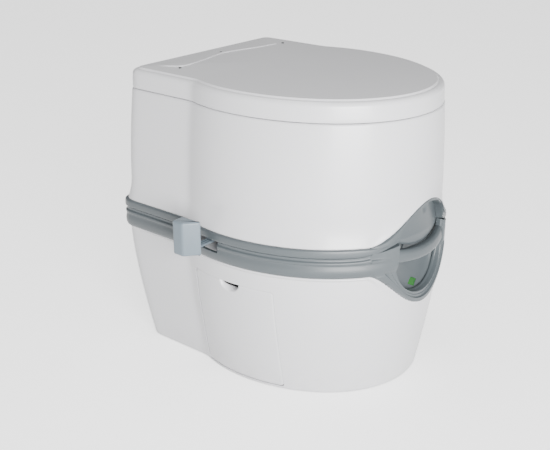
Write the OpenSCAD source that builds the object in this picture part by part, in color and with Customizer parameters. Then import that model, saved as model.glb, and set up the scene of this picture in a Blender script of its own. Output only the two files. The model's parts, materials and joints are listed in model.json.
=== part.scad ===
// Portable camp toilet: a waste tank below, a lift-off seat unit with its flush tank above.
// Origin on the floor under the middle, +Z up, the user faces -Y, the valve grip is on -X.

/* [Body outline] */
// Half width of the rear block at the lid parting
block_half = 161; // [140:1:185]
// Half width of the oval front part at the lid parting
oval_half = 175; // [150:1:200]
// Place of the oval's centre behind the origin
oval_y = 2.5; // [-10:0.5:15]
// Reach of the oval in front of its centre
oval_front = 215; // [180:1:250]
// Reach of the oval behind its centre
oval_rear = 196; // [170:1:230]
// Place of the flat rear wall at the lid parting
rear_y = 214; // [180:1:250]
// Radius of the two rear corners
corner_r = 22; // [15:1:35]

/* [Heights] */
// Height of the lower white shell, up to the belt
belt_z0 = 199; // [160:1:240]
// Height of the lower half of the belt
belt_low_h = 30; // [24:1:45]
// Height of the upper half of the belt
belt_up_h = 13; // [10:1:20]
// Height of the flush tank above the belt
flush_h = 173.5; // [150:1:210]
// Height of the lid, to the top of its dome
lid_h = 32.5; // [24:1:45]
// Rise of the lid's dome
lid_dome = 4; // [1:0.5:8]

/* [Walls and gaps] */
// Wall of the blow-moulded shells
wall = 3; // [2:0.5:4]
// Gap between neighbouring skins
gap = 0.3; // [0.2:0.05:0.5]
// Gap round the compartment door and under the lid
seam = 0.8; // [0.5:0.1:1.5]
// Gap between a trim piece and the faceted skin behind it
skin_gap = 0.6; // [0.5:0.05:0.9]
// Radial clearance of pins in their bores
pin_fit = 0.05; // [0.02:0.01:0.1]

/* [Flare of the skins] */
// How far the lower shell stands out under the belt, at the side
low_top_side = 12.5; // [8:0.5:16]
// How far the lower shell draws in at the floor, at the side
low_base_side = 15; // [5:0.5:25]
// How far the lower shell stands out under the belt, at the front and rear
low_top_front = 7; // [3:0.5:10]
// How far the lower shell draws in at the floor, at the front
low_base_front = 20.5; // [8:0.5:30]
// How far the lower shell draws in at the floor, at the rear
low_base_rear = 8; // [3:0.5:15]
// How far the flush tank bulges at the side
bulge = 8.3; // [4:0.5:12]
// How far the flush tank's lip stands out above the belt, at the side
lip = 15; // [12:0.5:18]
// How far the belt stands out at the side
belt_side = 18.5; // [18:0.5:24]
// How far the belt stands out at the front
belt_front = 12.3; // [11:0.1:16]
// How far the belt stands out at the rear
belt_rear = 10.9; // [9:0.1:14]

/* [Front eye] */
// Half width of the eye, where it runs into the belt
eye_half = 98; // [88:1:110]
// Height of the hood above the belt
hood_rise = 51; // [35:1:60]
// Half width of the recess
recess_half = 57; // [48:1:65]
// Height of the recess under the hood
recess_rise = 44; // [30:1:48]
// Drop of the lower lobe below the belt
lobe_drop = 64; // [45:1:75]
// Drop of the dish below its middle
dish_drop = 50; // [35:1:56]
// Depth of the finger space behind the carry bar
dish_depth = 40; // [34:1:50]
// How far the hood and the lobe stand proud of the shells
proud = 5.3; // [3:0.1:8]
// Height of the carry bar
bar_h = 18; // [12:1:24]
// Thickness of the carry bar
bar_t = 13; // [9:1:16]

/* [Bowl and seat] */
// Half width of the bowl's mouth
bowl_half = 108; // [90:1:120]
// Half length of the bowl's mouth
bowl_long = 132; // [110:1:145]
// Middle of the bowl's mouth, in front of the origin
bowl_y = -22; // [-30:1:-10]
// Radius of the bowl's outlet
outlet_r = 40; // [32:1:46]
// Middle of the outlet, behind the origin
outlet_y = 31; // [20:1:40]
// Thickness of the seat
seat_t = 15; // [10:1:18]
// Width of the seat's rim at the side
seat_rim = 46; // [36:1:52]

/* [Slide valve] */
// Thickness of the blade and of its rod
blade_t = 3; // [2:0.5:4]
// How far the grip is pulled out at rest
pulled = 16; // [12:1:60]
// Width of the rod
rod_w = 14; // [10:1:18]
// Height of the grip
grip_h = 54; // [40:1:60]
// Depth of the grip, out from the belt
grip_d = 32; // [24:1:40]
// Length of the grip along the belt
grip_l = 48; // [36:1:56]

/* [Paper compartment] */
// Front edge of the door
door_y0 = -79; // [-90:1:-65]
// Rear edge of the door
door_y1 = 64; // [50:1:70]
// Distance of the door's top edge below the belt
door_drop = 31; // [26:1:45]
// Bottom edge of the door
door_base = 6; // [5:0.5:12]
// Height of the door's pivot
door_pivot_z = 62; // [58:1:80]
// Radius of the door's pivot pins
door_pin_r = 3; // [2:0.5:4]
// Depth of the compartment
pocket_depth = 118; // [100:1:130]

/* [Pump and caps] */
// Radius of the pump barrel
pump_r = 15; // [12:1:20]
// Travel of the pump
pump_travel = 45; // [30:1:55]
// Radius of the filler cap
filler_r = 27; // [20:1:32]
// Radius of the pour-out spout
spout_r = 21; // [16:1:24]
// Reach of the spout from its swivel to its cap
spout_reach = 78; // [60:1:90]
// Distance of the spout bay's roof below the belt
bay_drop = 9; // [8:1:16]
// Height of the spout bay
bay_h = 64; // [60:1:70]

/* [Hidden] */

side_steps = 20;
corner_steps = 4;
split_z = belt_z0 + belt_low_h;
door_top = belt_z0 - door_drop;
belt_z1 = split_z + belt_up_h;
lid_z = belt_z1 + flush_h;
front_gain = 0.55;
rear_gain = 0.5;
belt_d = [belt_side, belt_front, belt_rear];
low_top_d = [low_top_side, low_top_front, low_top_front];
low_base_d = [-low_base_side, -low_base_front, -low_base_rear];
eye_z = belt_z1 + 1;
white = [0.93, 0.94, 0.95];
grey = [0.62, 0.66, 0.69];
pale_grey = [0.68, 0.73, 0.78];
dark = [0.2, 0.21, 0.22];

function mix(a, b, k) = a + (b - a) * k;
function clamp01(k) = min(1, max(0, k));

// Offset [side, front, rear] of the lower shell from the parting outline at height z
function low_d(z) = mix(low_top_d, low_base_d, pow(clamp01(1 - z / belt_z0), 1.45));

// The same for the flush tank: a soft bulge, and a lip that flares to the belt
flare_h = 38;
function bulge_at(z) = z > belt_z1 + flare_h
  ? bulge * (1 - pow((z - belt_z1 - flare_h) / (flush_h - flare_h), 1.6))
  : bulge + (lip - bulge) * pow((belt_z1 + flare_h - z) / flare_h, 2.2);
function up_d(z) = bulge_at(z) * [1, front_gain, rear_gain];

// Offset of the skin at any height, used by the pieces of the eye
function skin_d(z) = z < belt_z0 ? low_d(z)
  : z < belt_z1 ? mix(low_top_d, up_d(belt_z1), (z - belt_z0) / (belt_z1 - belt_z0)) : up_d(z);

// Outline at an offset d, drawn inwards by t. With an end_x it stays open across the front,
// from end_x round the back to -end_x.
function outline(d, t = 0, end_x = 0) = let (
    bw = block_half + d[0] - t,
    ow = oval_half + d[0] - t,
    af = oval_front + d[1] - t,
    ar = oval_rear + d[0] - t,
    yr = rear_y + d[2] - t,
    rc = max(2, corner_r - t),
    a0 = -acos(end_x / ow),
    a1 = acos(bw / ow),
    right = [for (i = [0 : side_steps]) let (a = mix(a0, a1, i / side_steps))
      [ow * cos(a), oval_y + (a < 0 ? af : ar) * sin(a)]],
    arc = [for (i = [0 : corner_steps]) let (a = 90 * i / corner_steps)
      [bw - rc + rc * cos(a), yr - rc + rc * sin(a)]],
    half = concat(right, arc),
    last = len(half) - 1)
  concat(half, [for (i = [last : -1 : (end_x > 0 ? 0 : 1)]) [-half[i][0], half[i][1]]]);
function ring(z, d, t = 0, end_x = 0) = [for (p = outline(d, t, end_x)) [p[0], p[1], z]];
// Sections across a stack of open rings, one at each place along them
function across(rings) = [for (j = [0 : len(rings[0]) - 1]) [for (r = rings) r[j]]];

// Front of the skin at x and z, standing proud by k
function front_y(x, z, k = 0) = let (d = skin_d(z))
  oval_y - (oval_front + d[1] + k) * sqrt(1 - pow(x / (oval_half + d[0] + k), 2));
// Left side of the lower skin at y and z, set in by t
function side_x(y, z, t = 0) = let (d = low_d(z), reach = y < oval_y ? oval_front + d[1] : oval_rear + d[0])
  t - (oval_half + d[0]) * sqrt(1 - pow((y - oval_y) / reach, 2));

// Closed solid through a list of equal sections; looped joins the last to the first
module sweep(sections, looped = false, flip = false) {
  n = len(sections);
  m = len(sections[0]);
  spans = looped ? n - 1 : n - 2;
  sides = [for (i = [0 : spans]) for (j = [0 : m - 1]) let (k = (j + 1) % m, l = (i + 1) % n)
    flip ? [i * m + j, i * m + k, l * m + k, l * m + j]
         : [i * m + j, l * m + j, l * m + k, i * m + k]];
  first = [for (j = [0 : m - 1]) flip ? m - 1 - j : j];
  last = [for (j = [0 : m - 1]) (n - 1) * m + (flip ? j : m - 1 - j)];
  polyhedron([for (s = sections) for (p = s) p], looped ? sides : concat(sides, [first, last]),
    convexity = 8);
}

// Ellipse of half sizes a and b round [0, y] at height z
function oval_ring(a, b, y, z, n = 40) = [for (i = [0 : n - 1]) [a * cos(360 * i / n),
  y + b * sin(360 * i / n), z]];

// The eye's curves, with k from -1 on the left to 1 on the right
function bell(k, p) = pow(0.5 + 0.5 * cos(180 * k), p);
function hood_edge(k) = [eye_half * k, eye_z + hood_rise * bell(k, 0.8)];
function recess_edge(k) = [recess_half * sin(90 * k), eye_z + recess_rise * cos(90 * k)];
cheek = 0.24;
cheek_top = eye_z - gap * 2;
dish_mid = belt_z0 + 6;
function lobe_edge(k) = abs(k) > 1 - cheek
  ? let (c = (abs(k) - 1 + cheek) / cheek) [sign(k) * eye_half, mix(belt_z0, cheek_top, c)]
  : let (c = k / (1 - cheek)) [eye_half * c, belt_z0 - lobe_drop * bell(c, 0.65)];
function dish_edge(k) = abs(k) > 1 - cheek
  ? let (c = (abs(k) - 1 + cheek) / cheek) [sign(k) * recess_half, mix(dish_mid, cheek_top, c)]
  : let (c = k / (1 - cheek)) [recess_half * sin(90 * c), dish_mid - dish_drop * cos(90 * c)];
function on_skin(p, k) = [p[0], front_y(p[0], p[1], k), p[1]];
eye_steps = 28;
// Stepped rim between two curves: [share of the way in, height over the skin]
rim_top = [[0, skin_gap], [0.05, proud - 1.2], [0.12, proud], [0.6, proud], [0.68, 1.5], [0.9, 1], [1, -6]];
rim_under = [[1, -9], [0.86, -9], [0.78, -4], [0.74, skin_gap], [0.4, skin_gap]];
rim_section = concat(rim_top, rim_under);

// Window through a shell behind a stepped rim, just clear of its inner lip
module eye_window(curve, z_close) {
  pts = [for (i = [-eye_steps : 2 : eye_steps]) curve(i / eye_steps)];
  translate([0, -oval_front + 40, 0])
    rotate([90, 0, 0])
      linear_extrude(height = 90)
        polygon(concat([[pts[0][0], z_close]], pts, [[pts[eye_steps][0], z_close]]));
}
window_in = 0.7;
window_up = function (k) mix(hood_edge(k), recess_edge(k), window_in);
window_low = function (k) mix(lobe_edge(k), dish_edge(k), window_in);

// ---------------------------------------------------------------- waste tank
slot_z = split_z - 7;
deck_z = split_z - 17;
deck_t = 3;
rod_y = outlet_y;
slot_h = blade_t + 2 * gap;

// Notch for the rod and the grip's foot, above the tank's deck
module valve_slot(w) {
  translate([-belt_side - oval_half - 10, rod_y - w / 2, deck_z + 0.5])
    cube([belt_side + 22, w, split_z - deck_z + 2]);
}

module door_hole(grow) {
  translate([-oval_half - low_top_side - 5, door_y0 - grow, door_base - grow])
    cube([60, door_y1 - door_y0 + 2 * grow, door_top - door_base + 2 * grow]);
}

recess_x0 = -38;
recess_x1 = 104;
recess_z1 = belt_z0 - bay_drop;
recess_z0 = recess_z1 - bay_h;
recess_d = 66;
module rear_hole(grow) {
  translate([recess_x0 - grow, rear_y - 30, recess_z0 - grow])
    cube([recess_x1 - recess_x0 + 2 * grow, 60, recess_z1 - recess_z0 + 2 * grow]);
}

tank_levels = [3, 22, 50, 80, 112, 148, belt_z0];
module tank_shell() {
  color(white)
    difference() {
      sweep(concat([ring(0, low_d(0), 3)], [for (z = tank_levels) ring(z, low_d(z))],
        [ring(split_z - 3, low_top_d), ring(split_z - 3, low_top_d, wall)],
        [for (i = [len(tank_levels) - 1 : -1 : 1]) ring(tank_levels[i], low_d(tank_levels[i]), wall)],
        [ring(wall, low_d(wall), wall)]));
      eye_window(window_low, split_z + 20);
      door_hole(seam);
      rear_hole(0);
      valve_slot(grip_l + 2);
    }
}

// Front area that the eye's dish takes up, to a depth behind the skin
module front_cut(depth) {
  translate([-eye_half - 2, -oval_front - 30])
    square([2 * eye_half + 4, 30 + depth]);
}

module tank_deck() {
  color(white)
    translate([0, 0, deck_z - deck_t])
      linear_extrude(height = deck_t)
        difference() {
          polygon(outline(low_top_d, wall + gap));
          translate([0, outlet_y])
            circle(r = outlet_r + 2, $fn = 64);
          front_cut(dish_depth + 5);
          translate([vent_x, vent_y])
            circle(r = vent_r + pin_fit, $fn = 32);
        }
}

// Belt sections: [height, how far in from the belt's full reach]
low_band = [[belt_z0, 3.5], [belt_z0 + 4, 1], [belt_z0 + 12, 0.3], [belt_z0 + 20, 1.6], [belt_z0 + 22, 0.6],
  [belt_z0 + 24.5, 0.6], [belt_z0 + 26, 2.3], [split_z - gap, 2.3]];
up_band = [[split_z + gap, 2.2], [split_z + 2, 0.5], [split_z + 6, 0], [belt_z1 - 3, 0.2], [belt_z1, 1.6]];
belt_end = eye_half + gap;

module belt_lower() {
  inner = low_top_d + skin_gap * [1, 1, 1];
  color(grey)
    difference() {
      sweep(across(concat([for (p = low_band) ring(p[0], belt_d, p[1], belt_end)],
        [ring(split_z - gap, inner, 0, belt_end), ring(belt_z0, inner, 0, belt_end)])), flip = true);
      valve_slot(grip_l + 2);
    }
}

module lobe_rim() {
  color(grey)
    sweep([for (i = [-eye_steps : eye_steps]) let (k = i / eye_steps)
      [for (s = rim_section) on_skin(mix(lobe_edge(k), dish_edge(k), s[0]), s[1])]], flip = true);
}

// Depth of the dish below the skin, from its edge (0) to its middle (1)
function dish_floor(z) = z > dish_mid ? dish_depth : mix(28, dish_depth, (z - belt_z0 + 49) / 60);
function dish_sink(v, z) = mix(9.3, dish_floor(z), sqrt(clamp01(v)));
dish_steps = [0, 0.08, 0.2, 0.4, 0.7, 1];
module grip_dish() {
  face = [for (i = [-12 : 12]) let (k = i / 12, e = mix(lobe_edge(k), dish_edge(k), 0.88))
    [for (v = dish_steps) let (p = [e[0] * (1 - 0.94 * v), mix(e[1], max(dish_mid + 6, e[1]), 0.9 * v)])
      on_skin(p, -dish_sink(v, p[1]))]];
  m = len(dish_steps);
  color(grey)
    difference() {
      union() {
        sweep([for (s = face) concat([for (p = s) p], [for (j = [m - 1 : -1 : 0]) s[j] + [0, wall, 0]])],
          flip = true);
        translate([-8, front_y(0, bar_z, -dish_depth) - 0.5, dish_mid - 4])
          cube([16, wall, cheek_top - dish_mid + 4]);
      }
      diamond(window_d + 2 * gap, window_y0 - 10, dial_y);
    }
}

bar_z = belt_z0 + 18;
bar_half = recess_half - gap;
module carry_bar() {
  color(grey)
    sweep([for (i = [-8 : 8])
      let (x = bar_half * i / 8, z = bar_z - 5 * (1 - pow(i / 8, 2)),
        y = front_y(x, bar_z, proud - 3 - bar_t / 2))
      [for (a = [15 : 30 : 345]) [x, y + bar_t / 2 * cos(a), z + bar_h / 2 * sin(a)]]]);
}

window_z = belt_z0 - 38.5;
window_d = 20;
window_y0 = front_y(0, window_z, -15);
dial_y = window_y0 + 35;
dial_x = 26;
dial_z = window_z + 4;
dial_r = 38;
dial_pin_r = 3;
module diamond(size, y0, y1) {
  translate([0, y1, window_z])
    rotate([90, 0, 0])
      linear_extrude(height = y1 - y0)
        rotate(45)
          square(size / sqrt(2), center = true);
}
module along_y(x, y0, y1, z, r, fn = 48) {
  translate([x, y1, z])
    rotate([90, 0, 0])
      cylinder(h = y1 - y0, r = r, $fn = fn);
}
module along_x(x0, x1, y, z, r, fn = 48) {
  translate([x0, y, z])
    rotate([0, 90, 0])
      cylinder(h = x1 - x0, r = r, $fn = fn);
}
module level_window() {
  color([0.24, 0.55, 0.22])
    diamond(window_d, window_y0, dial_y - 1);
}
module level_dial() {
  color("red")
    difference() {
      along_y(dial_x, dial_y, dial_y + 2, dial_z, dial_r);
      along_y(dial_x, dial_y - 1, dial_y + 3, dial_z, dial_pin_r + pin_fit);
    }
}
arm_angle = -35;
arm_l = 70;
float_r = 14;
module level_float() {
  color(white)
    translate([dial_x, dial_y + 2, dial_z])
      rotate([0, -arm_angle, 0]) {
        difference() {
          translate([-8, 0, -5])
            cube([arm_l + 8, 3, 10]);
          along_y(0, -1, 4, 0, dial_pin_r + pin_fit);
        }
        along_y(arm_l, 3, 38, 0, float_r);
      }
}

// ---------------------------------------------------------------- slide valve
blade_half = outlet_r + 6;
frame_x0 = -2 * blade_half - 50;
frame_top = split_z - 1.6;
module valve_frame() {
  color(dark)
    difference() {
      translate([frame_x0, rod_y - blade_half - 6, deck_z])
        cube([blade_half + 6 - frame_x0, 2 * blade_half + 12, frame_top - deck_z]);
      translate([frame_x0 - 1, rod_y - blade_half - gap, slot_z - slot_h / 2])
        cube([blade_half + 1.5 - frame_x0, 2 * (blade_half + gap), slot_h]);
      translate([0, outlet_y, deck_z - 1])
        cylinder(h = 40, r = outlet_r, $fn = 64);
    }
}
module ring_tube(x, y, z0, z1, r0, r1, fn = 64) {
  translate([x, y, z0])
    difference() {
      cylinder(h = z1 - z0, r = r1, $fn = fn);
      translate([0, 0, -1])
        cylinder(h = z1 - z0 + 2, r = r0, $fn = fn);
    }
}
module lip_seal() {
  color(dark)
    ring_tube(0, outlet_y, frame_top, split_z - gap / 2, outlet_r, outlet_r + 6);
}
module valve_blade() {
  color(dark)
    translate([-pulled - blade_half, rod_y - blade_half, slot_z - blade_t / 2])
      cube([2 * blade_half, 2 * blade_half, blade_t]);
}
grip_foot_x = -oval_half - belt_side - 5.5;
grip_x = grip_foot_x - 10.5;
grip_out_x = grip_foot_x - grip_d;
grip_z0 = slot_z - 14;
module valve_rod() {
  color(pale_grey)
    translate([grip_foot_x, rod_y - rod_w / 2, slot_z - blade_t / 2])
      cube([-pulled - blade_half - grip_foot_x, rod_w, blade_t]);
}
grip_y0 = rod_y - grip_l / 2;
grip_y1 = rod_y + grip_l / 2;
module valve_grip() {
  slant = (grip_x - grip_out_x) * 0.8;
  color(pale_grey) {
    translate([0, 0, grip_z0])
      linear_extrude(height = grip_h)
        polygon([[grip_x, grip_y0 + 7], [grip_x, grip_y1], [grip_out_x, grip_y1],
          [grip_out_x, grip_y0 + 7 + slant]]);
    translate([grip_x, grip_y0, deck_z + 1])
      cube([grip_foot_x - grip_x, grip_l, split_z - deck_z - 2]);
  }
}

// ---------------------------------------------------------------- vent
vent_x = 120;
vent_y = 95;
vent_r = 5;
vent_top = split_z - 5;
module helix(x, y, z0, z1, r, wire, turns) {
  steps = 12;
  n = turns * steps;
  translate([x, y, 0])
    sweep([for (i = [0 : n]) let (a = 360 * i / steps, z = mix(z0 + wire, z1 - wire, i / n))
      [for (b = [0 : 60 : 300]) let (reach = r + wire * cos(b))
        [reach * cos(a), reach * sin(a), z + wire * sin(b)]]],
      flip = true);
}
module vent_button() {
  color(pale_grey)
    translate([vent_x, vent_y, deck_z - 10]) {
      cylinder(h = vent_top - deck_z + 10, r = vent_r, $fn = 48);
      translate([0, 0, vent_top - deck_z + 7])
        cylinder(h = 3, r = vent_r + 5, $fn = 48);
    }
}
module vent_spring() {
  color("silver")
    helix(vent_x, vent_y, deck_z + 0.1, vent_top - 3.1, vent_r + 2.2, 0.8, 3);
}

// ---------------------------------------------------------------- pour-out spout
swivel_x = -12;
swivel_y = rear_y - 38;
spout_z = recess_z0 + 28;
arm_r = spout_r - 4;
boss_r = 13;
module spout_recess() {
  t = 2.5;
  y0 = rear_y - recess_d;
  color(white) {
    difference() {
      translate([recess_x0 + gap, y0, recess_z0 + gap])
        cube([recess_x1 - recess_x0 - 2 * gap, recess_d - 5, recess_z1 - recess_z0 - 2 * gap]);
      translate([recess_x0 + t, y0 + t, recess_z0 + t])
        cube([recess_x1 - recess_x0 - 2 * t, recess_d, recess_z1 - recess_z0 - 2 * t]);
    }
    translate([swivel_x, swivel_y, recess_z0 + t - 1])
      cylinder(h = 17, r = boss_r, $fn = 64);
  }
}
module pour_spout() {
  end_x = swivel_x + spout_reach;
  color(pale_grey)
    difference() {
      union() {
        translate([swivel_x, swivel_y, recess_z0 + 4])
          cylinder(h = spout_z - recess_z0 - 4 + arm_r, r = arm_r, $fn = 64);
        along_x(swivel_x, end_x, swivel_y, spout_z, arm_r, 64);
      }
      translate([swivel_x, swivel_y, recess_z0 + 3])
        cylinder(h = 18, r = boss_r + pin_fit, $fn = 64);
      along_x(swivel_x, end_x + 1, swivel_y, spout_z, arm_r - 4);
    }
}
module spout_seal() {
  color(dark)
    difference() {
      along_x(swivel_x + spout_reach, swivel_x + spout_reach + 1.5, swivel_y, spout_z, arm_r - 0.5);
      along_x(swivel_x + spout_reach - 1, swivel_x + spout_reach + 3, swivel_y, spout_z, arm_r - 3.5);
    }
}
module spout_cap() {
  x1 = swivel_x + spout_reach + 5;
  x0 = x1 - 20;
  color(grey)
    difference() {
      union() {
        along_x(x0, x1, swivel_y, spout_z, spout_r - 1, 64);
        for (a = [0 : 30 : 330])
          translate([x0, swivel_y, spout_z])
            rotate([a, 0, 0])
              translate([0, -1.5, spout_r - 3])
                cube([x1 - x0, 3, 3]);
      }
      along_x(x0 - 1, x1 - 3.3, swivel_y, spout_z, arm_r + pin_fit, 64);
    }
}

// ---------------------------------------------------------------- paper compartment
liner_t = 2.4;
liner_gap = 0.6;
floor_t = 1.5;
door_pivot_x = -oval_half + 25;
cheek_t = 2.5;
cheek_in = 5;
module roll_compartment() {
  x0 = -oval_half - 10;
  y0 = door_y0 - liner_gap - liner_t;
  y1 = door_y1 + liner_gap + liner_t;
  z0 = wall + gap;
  z1 = door_top + liner_gap + liner_t;
  x1 = -oval_half + pocket_depth - 10;
  color(white)
    intersection() {
      difference() {
        translate([x0, y0, z0])
          cube([x1 - x0, y1 - y0, z1 - z0]);
        translate([x0 - 1, y0 + liner_t, z0 + floor_t])
          cube([x1 - x0 + 1 - liner_t, y1 - y0 - 2 * liner_t, z1 - z0 - floor_t - liner_t]);
      }
      sweep([for (z = concat([0], tank_levels)) ring(z, low_d(z), wall + 2 * gap)]);
    }
}
module roll_door() {
  ny = 10;
  nz = 6;
  ys = [for (i = [0 : ny]) mix(door_y0, door_y1, i / ny)];
  zs = [for (i = [0 : nz]) mix(door_base, door_top, i / nz)];
  color(white)
    sweep([for (y = ys) concat([for (z = zs) [side_x(y, z), y, z]],
      [for (i = [nz : -1 : 0]) [side_x(y, zs[i], wall), y, zs[i]]])]);
}
// Two cheeks behind the door: their outer edges follow it, and they carry the pivots and the pegs
module roll_cheeks() {
  z0 = door_pivot_z - 12;
  z1 = door_pivot_z + 48;
  zs = [for (i = [0 : 4]) mix(z0, z1, i / 4)];
  color(white)
    for (y = [[door_y0 + cheek_in, 0], [door_y1 - cheek_in, -cheek_t]])
      difference() {
        translate([0, y[0] + y[1] + cheek_t, 0])
          rotate([90, 0, 0])
            linear_extrude(height = cheek_t)
              polygon(concat([for (z = zs) [side_x(y[0], z, wall + 2 * gap), z]],
                [[door_pivot_x + 55, z1], [door_pivot_x + 55, z0]]));
        along_y(door_pivot_x, y[0] - 2 * cheek_t, y[0] + 2 * cheek_t, door_pivot_z, door_pin_r + pin_fit);
      }
}
module door_pins() {
  inner0 = door_y0 - liner_gap;
  inner1 = door_y1 + liner_gap;
  color("silver") {
    along_y(door_pivot_x, inner0, door_y0 + cheek_in + cheek_t + 1, door_pivot_z, door_pin_r);
    along_y(door_pivot_x, door_y1 - cheek_in - cheek_t - 1, inner1, door_pivot_z, door_pin_r);
  }
}
peg_l = 15;
module roll_pegs() {
  color(pale_grey) {
    along_y(door_pivot_x + 45, door_y0 + cheek_in + cheek_t, door_y0 + cheek_in + cheek_t + peg_l,
      door_pivot_z + 36, 9);
    along_y(door_pivot_x + 45, door_y1 - cheek_in - cheek_t - peg_l, door_y1 - cheek_in - cheek_t,
      door_pivot_z + 36, 9);
  }
}

// ---------------------------------------------------------------- seat unit
tuck = 1.3;
belt_top_d = up_d(belt_z1);
base_t = 3;
bowl_neck = split_z + 14;
neck_r = outlet_r + 3;
module base_plate() {
  back = dish_depth + 8;
  t = tuck + wall + gap;
  color(white) {
    translate([0, 0, split_z + gap])
      linear_extrude(height = base_t)
        difference() {
          polygon(outline(belt_top_d, t));
          translate([0, outlet_y])
            circle(r = neck_r + 3 + gap, $fn = 64);
          front_cut(back);
        }
    translate([-eye_half - 2 - base_t, -oval_front + back, split_z + gap])
      cube([2 * (eye_half + 2 + base_t), base_t, eye_z + base_t - split_z]);
    translate([0, 0, eye_z + gap])
      linear_extrude(height = base_t)
        intersection() {
          polygon(outline(belt_top_d, 13.5));
          front_cut(back + 1);
        }
  }
}
shell_levels = [0.2, 4, 9, 16, 26, 39, 70, 102, 134, 158, 172];
module flush_shell() {
  levels = [for (h = shell_levels) belt_z1 + h];
  n = len(levels);
  color(white)
    difference() {
      sweep(concat([ring(split_z + 2, belt_top_d, tuck), ring(belt_z1, belt_top_d, tuck)],
        [for (z = levels) ring(z, up_d(z))],
        [for (i = [n - 1 : -1 : 0]) ring(levels[i], up_d(levels[i]), wall)],
        [ring(belt_z1, belt_top_d, tuck + wall), ring(split_z + 2, belt_top_d, tuck + wall)]),
        looped = true);
      eye_window(window_up, split_z - 5);
      translate([-eye_half - 2, -oval_front - 40, split_z - 5])
        cube([2 * eye_half + 4, 40 + dish_depth + 20, eye_z - split_z + 5]);
    }
}
module belt_upper() {
  color(grey)
    sweep(across(concat([for (p = up_band) ring(p[0], belt_d, p[1], belt_end)],
      [ring(belt_z1, belt_top_d, tuck - skin_gap, belt_end),
        ring(split_z + gap, belt_top_d, tuck - skin_gap, belt_end)])), flip = true);
}
module front_hood() {
  color(grey)
    sweep([for (i = [-eye_steps : eye_steps]) let (k = i / eye_steps)
      [for (s = rim_section) on_skin(mix(hood_edge(k), recess_edge(k), s[0]), s[1])]]);
}
module recess_plate() {
  half = recess_half + 4;
  color(grey)
    sweep([for (i = [-10 : 10])
      let (x = half * sin(9 * i * 0.98), top = eye_z + 2 + (recess_rise + 3) * sqrt(1 - pow(x / half, 2)))
      concat([for (k = [0, 0.33, 0.66, 1]) on_skin([x, mix(eye_z + gap, top, k)], -9.3)],
        [for (k = [1, 0.66, 0.33, 0]) on_skin([x, mix(eye_z + gap, top, k)], -12.3)])], flip = true);
}
deck_top = lid_z - 3.6;
pump_x = 118;
pump_y = 168;
filler_x = -112;
filler_y = 165;
seat_long = 168;
seat_half = bowl_half + seat_rim;
seat_z = deck_top + 3;
seat_pin_y = bowl_y + seat_long + 11;
seat_pin_z = seat_z + 5;
seat_pin_r = 3;
seat_lug_x = 56;
lid_pin_y = rear_y - 3.5;
lid_pin_z = lid_z + 3.7;
lid_pin_r = 2;
knuckle_r = 4.2;
lid_knuckle_x = 105;
lug_half = 6.5;
ear_l = 10;
module top_deck() {
  color(white)
    difference() {
      union() {
        translate([0, 0, deck_top - 3])
          linear_extrude(height = 3)
            difference() {
              polygon(outline(up_d(deck_top), wall + gap));
              polygon([for (p = oval_ring(bowl_half, bowl_long, bowl_y, 0)) [p[0], p[1]]]);
              translate([pump_x, pump_y])
                circle(r = pump_r + gap, $fn = 48);
              translate([filler_x, filler_y])
                circle(r = filler_r - 2 + gap, $fn = 48);
            }
        for (s = [-1, 1]) {
          for (e = [-1, 1])
            let (x = s * lid_knuckle_x + e * (lug_half + gap + ear_l / 2)) {
              along_x(x - ear_l / 2, x + ear_l / 2, lid_pin_y, lid_pin_z, knuckle_r);
              translate([x - ear_l / 2, lid_pin_y - knuckle_r, deck_top - 1])
                cube([ear_l, knuckle_r - 0.1, lid_pin_z - deck_top + 1]);
            }
          for (e = [-1, 1])
            translate([s * seat_lug_x + e * 14 - 4, seat_pin_y - 6, deck_top - 1])
              cube([8, 12, seat_pin_z + 6 - deck_top + 1]);
        }
      }
      for (s = [-1, 1]) {
        along_x(s * lid_knuckle_x - 30, s * lid_knuckle_x + 30, lid_pin_y, lid_pin_z, lid_pin_r + pin_fit);
        along_x(s * seat_lug_x - 30, s * seat_lug_x + 30, seat_pin_y, seat_pin_z, seat_pin_r + pin_fit);
      }
    }
}
module lid_pins() {
  color("silver")
    for (s = [-1, 1])
      along_x(s * lid_knuckle_x - lug_half - gap - ear_l, s * lid_knuckle_x + lug_half + gap + ear_l,
        lid_pin_y, lid_pin_z, lid_pin_r);
}
module seat_pins() {
  color("silver")
    for (s = [-1, 1])
      along_x(s * seat_lug_x - 18, s * seat_lug_x + 18, seat_pin_y, seat_pin_z, seat_pin_r);
}

// Bowl: an oval mouth that draws in and back to a round outlet
bowl_steps = [0, 0.12, 0.25, 0.4, 0.55, 0.7, 0.82, 0.92, 1];
nozzle_z = deck_top - 16;
nozzle_x = 36;
nozzle_r = 7;
function bowl_ring(v, t) = let (s = pow(v, 1.9), z = mix(deck_top - 6, bowl_neck, v))
  oval_ring(mix(bowl_half - 1, neck_r, s) - t, mix(bowl_long - 1, neck_r, s) - t,
    mix(bowl_y, outlet_y, pow(v, 1.3)), z);
module bowl() {
  rim = 8;
  color(white)
    difference() {
      sweep(concat([oval_ring(bowl_half + rim, bowl_long + rim, bowl_y, deck_top + 1.5),
          oval_ring(bowl_half + rim, bowl_long + rim, bowl_y, deck_top),
          oval_ring(bowl_half - gap, bowl_long - gap, bowl_y, deck_top)],
        [for (v = bowl_steps) bowl_ring(v, 0)],
        [oval_ring(neck_r, neck_r, outlet_y, split_z + 4),
          oval_ring(outlet_r, outlet_r, outlet_y, split_z + 4)],
        [for (i = [len(bowl_steps) - 1 : -1 : 0]) bowl_ring(bowl_steps[i], wall)],
        [oval_ring(bowl_half - 3, bowl_long - 3, bowl_y, deck_top + 1.5)]), looped = true, flip = true);
      along_y(nozzle_x, bowl_long + bowl_y - 60, bowl_long + bowl_y + 20, nozzle_z, nozzle_r + gap);
    }
}
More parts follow.
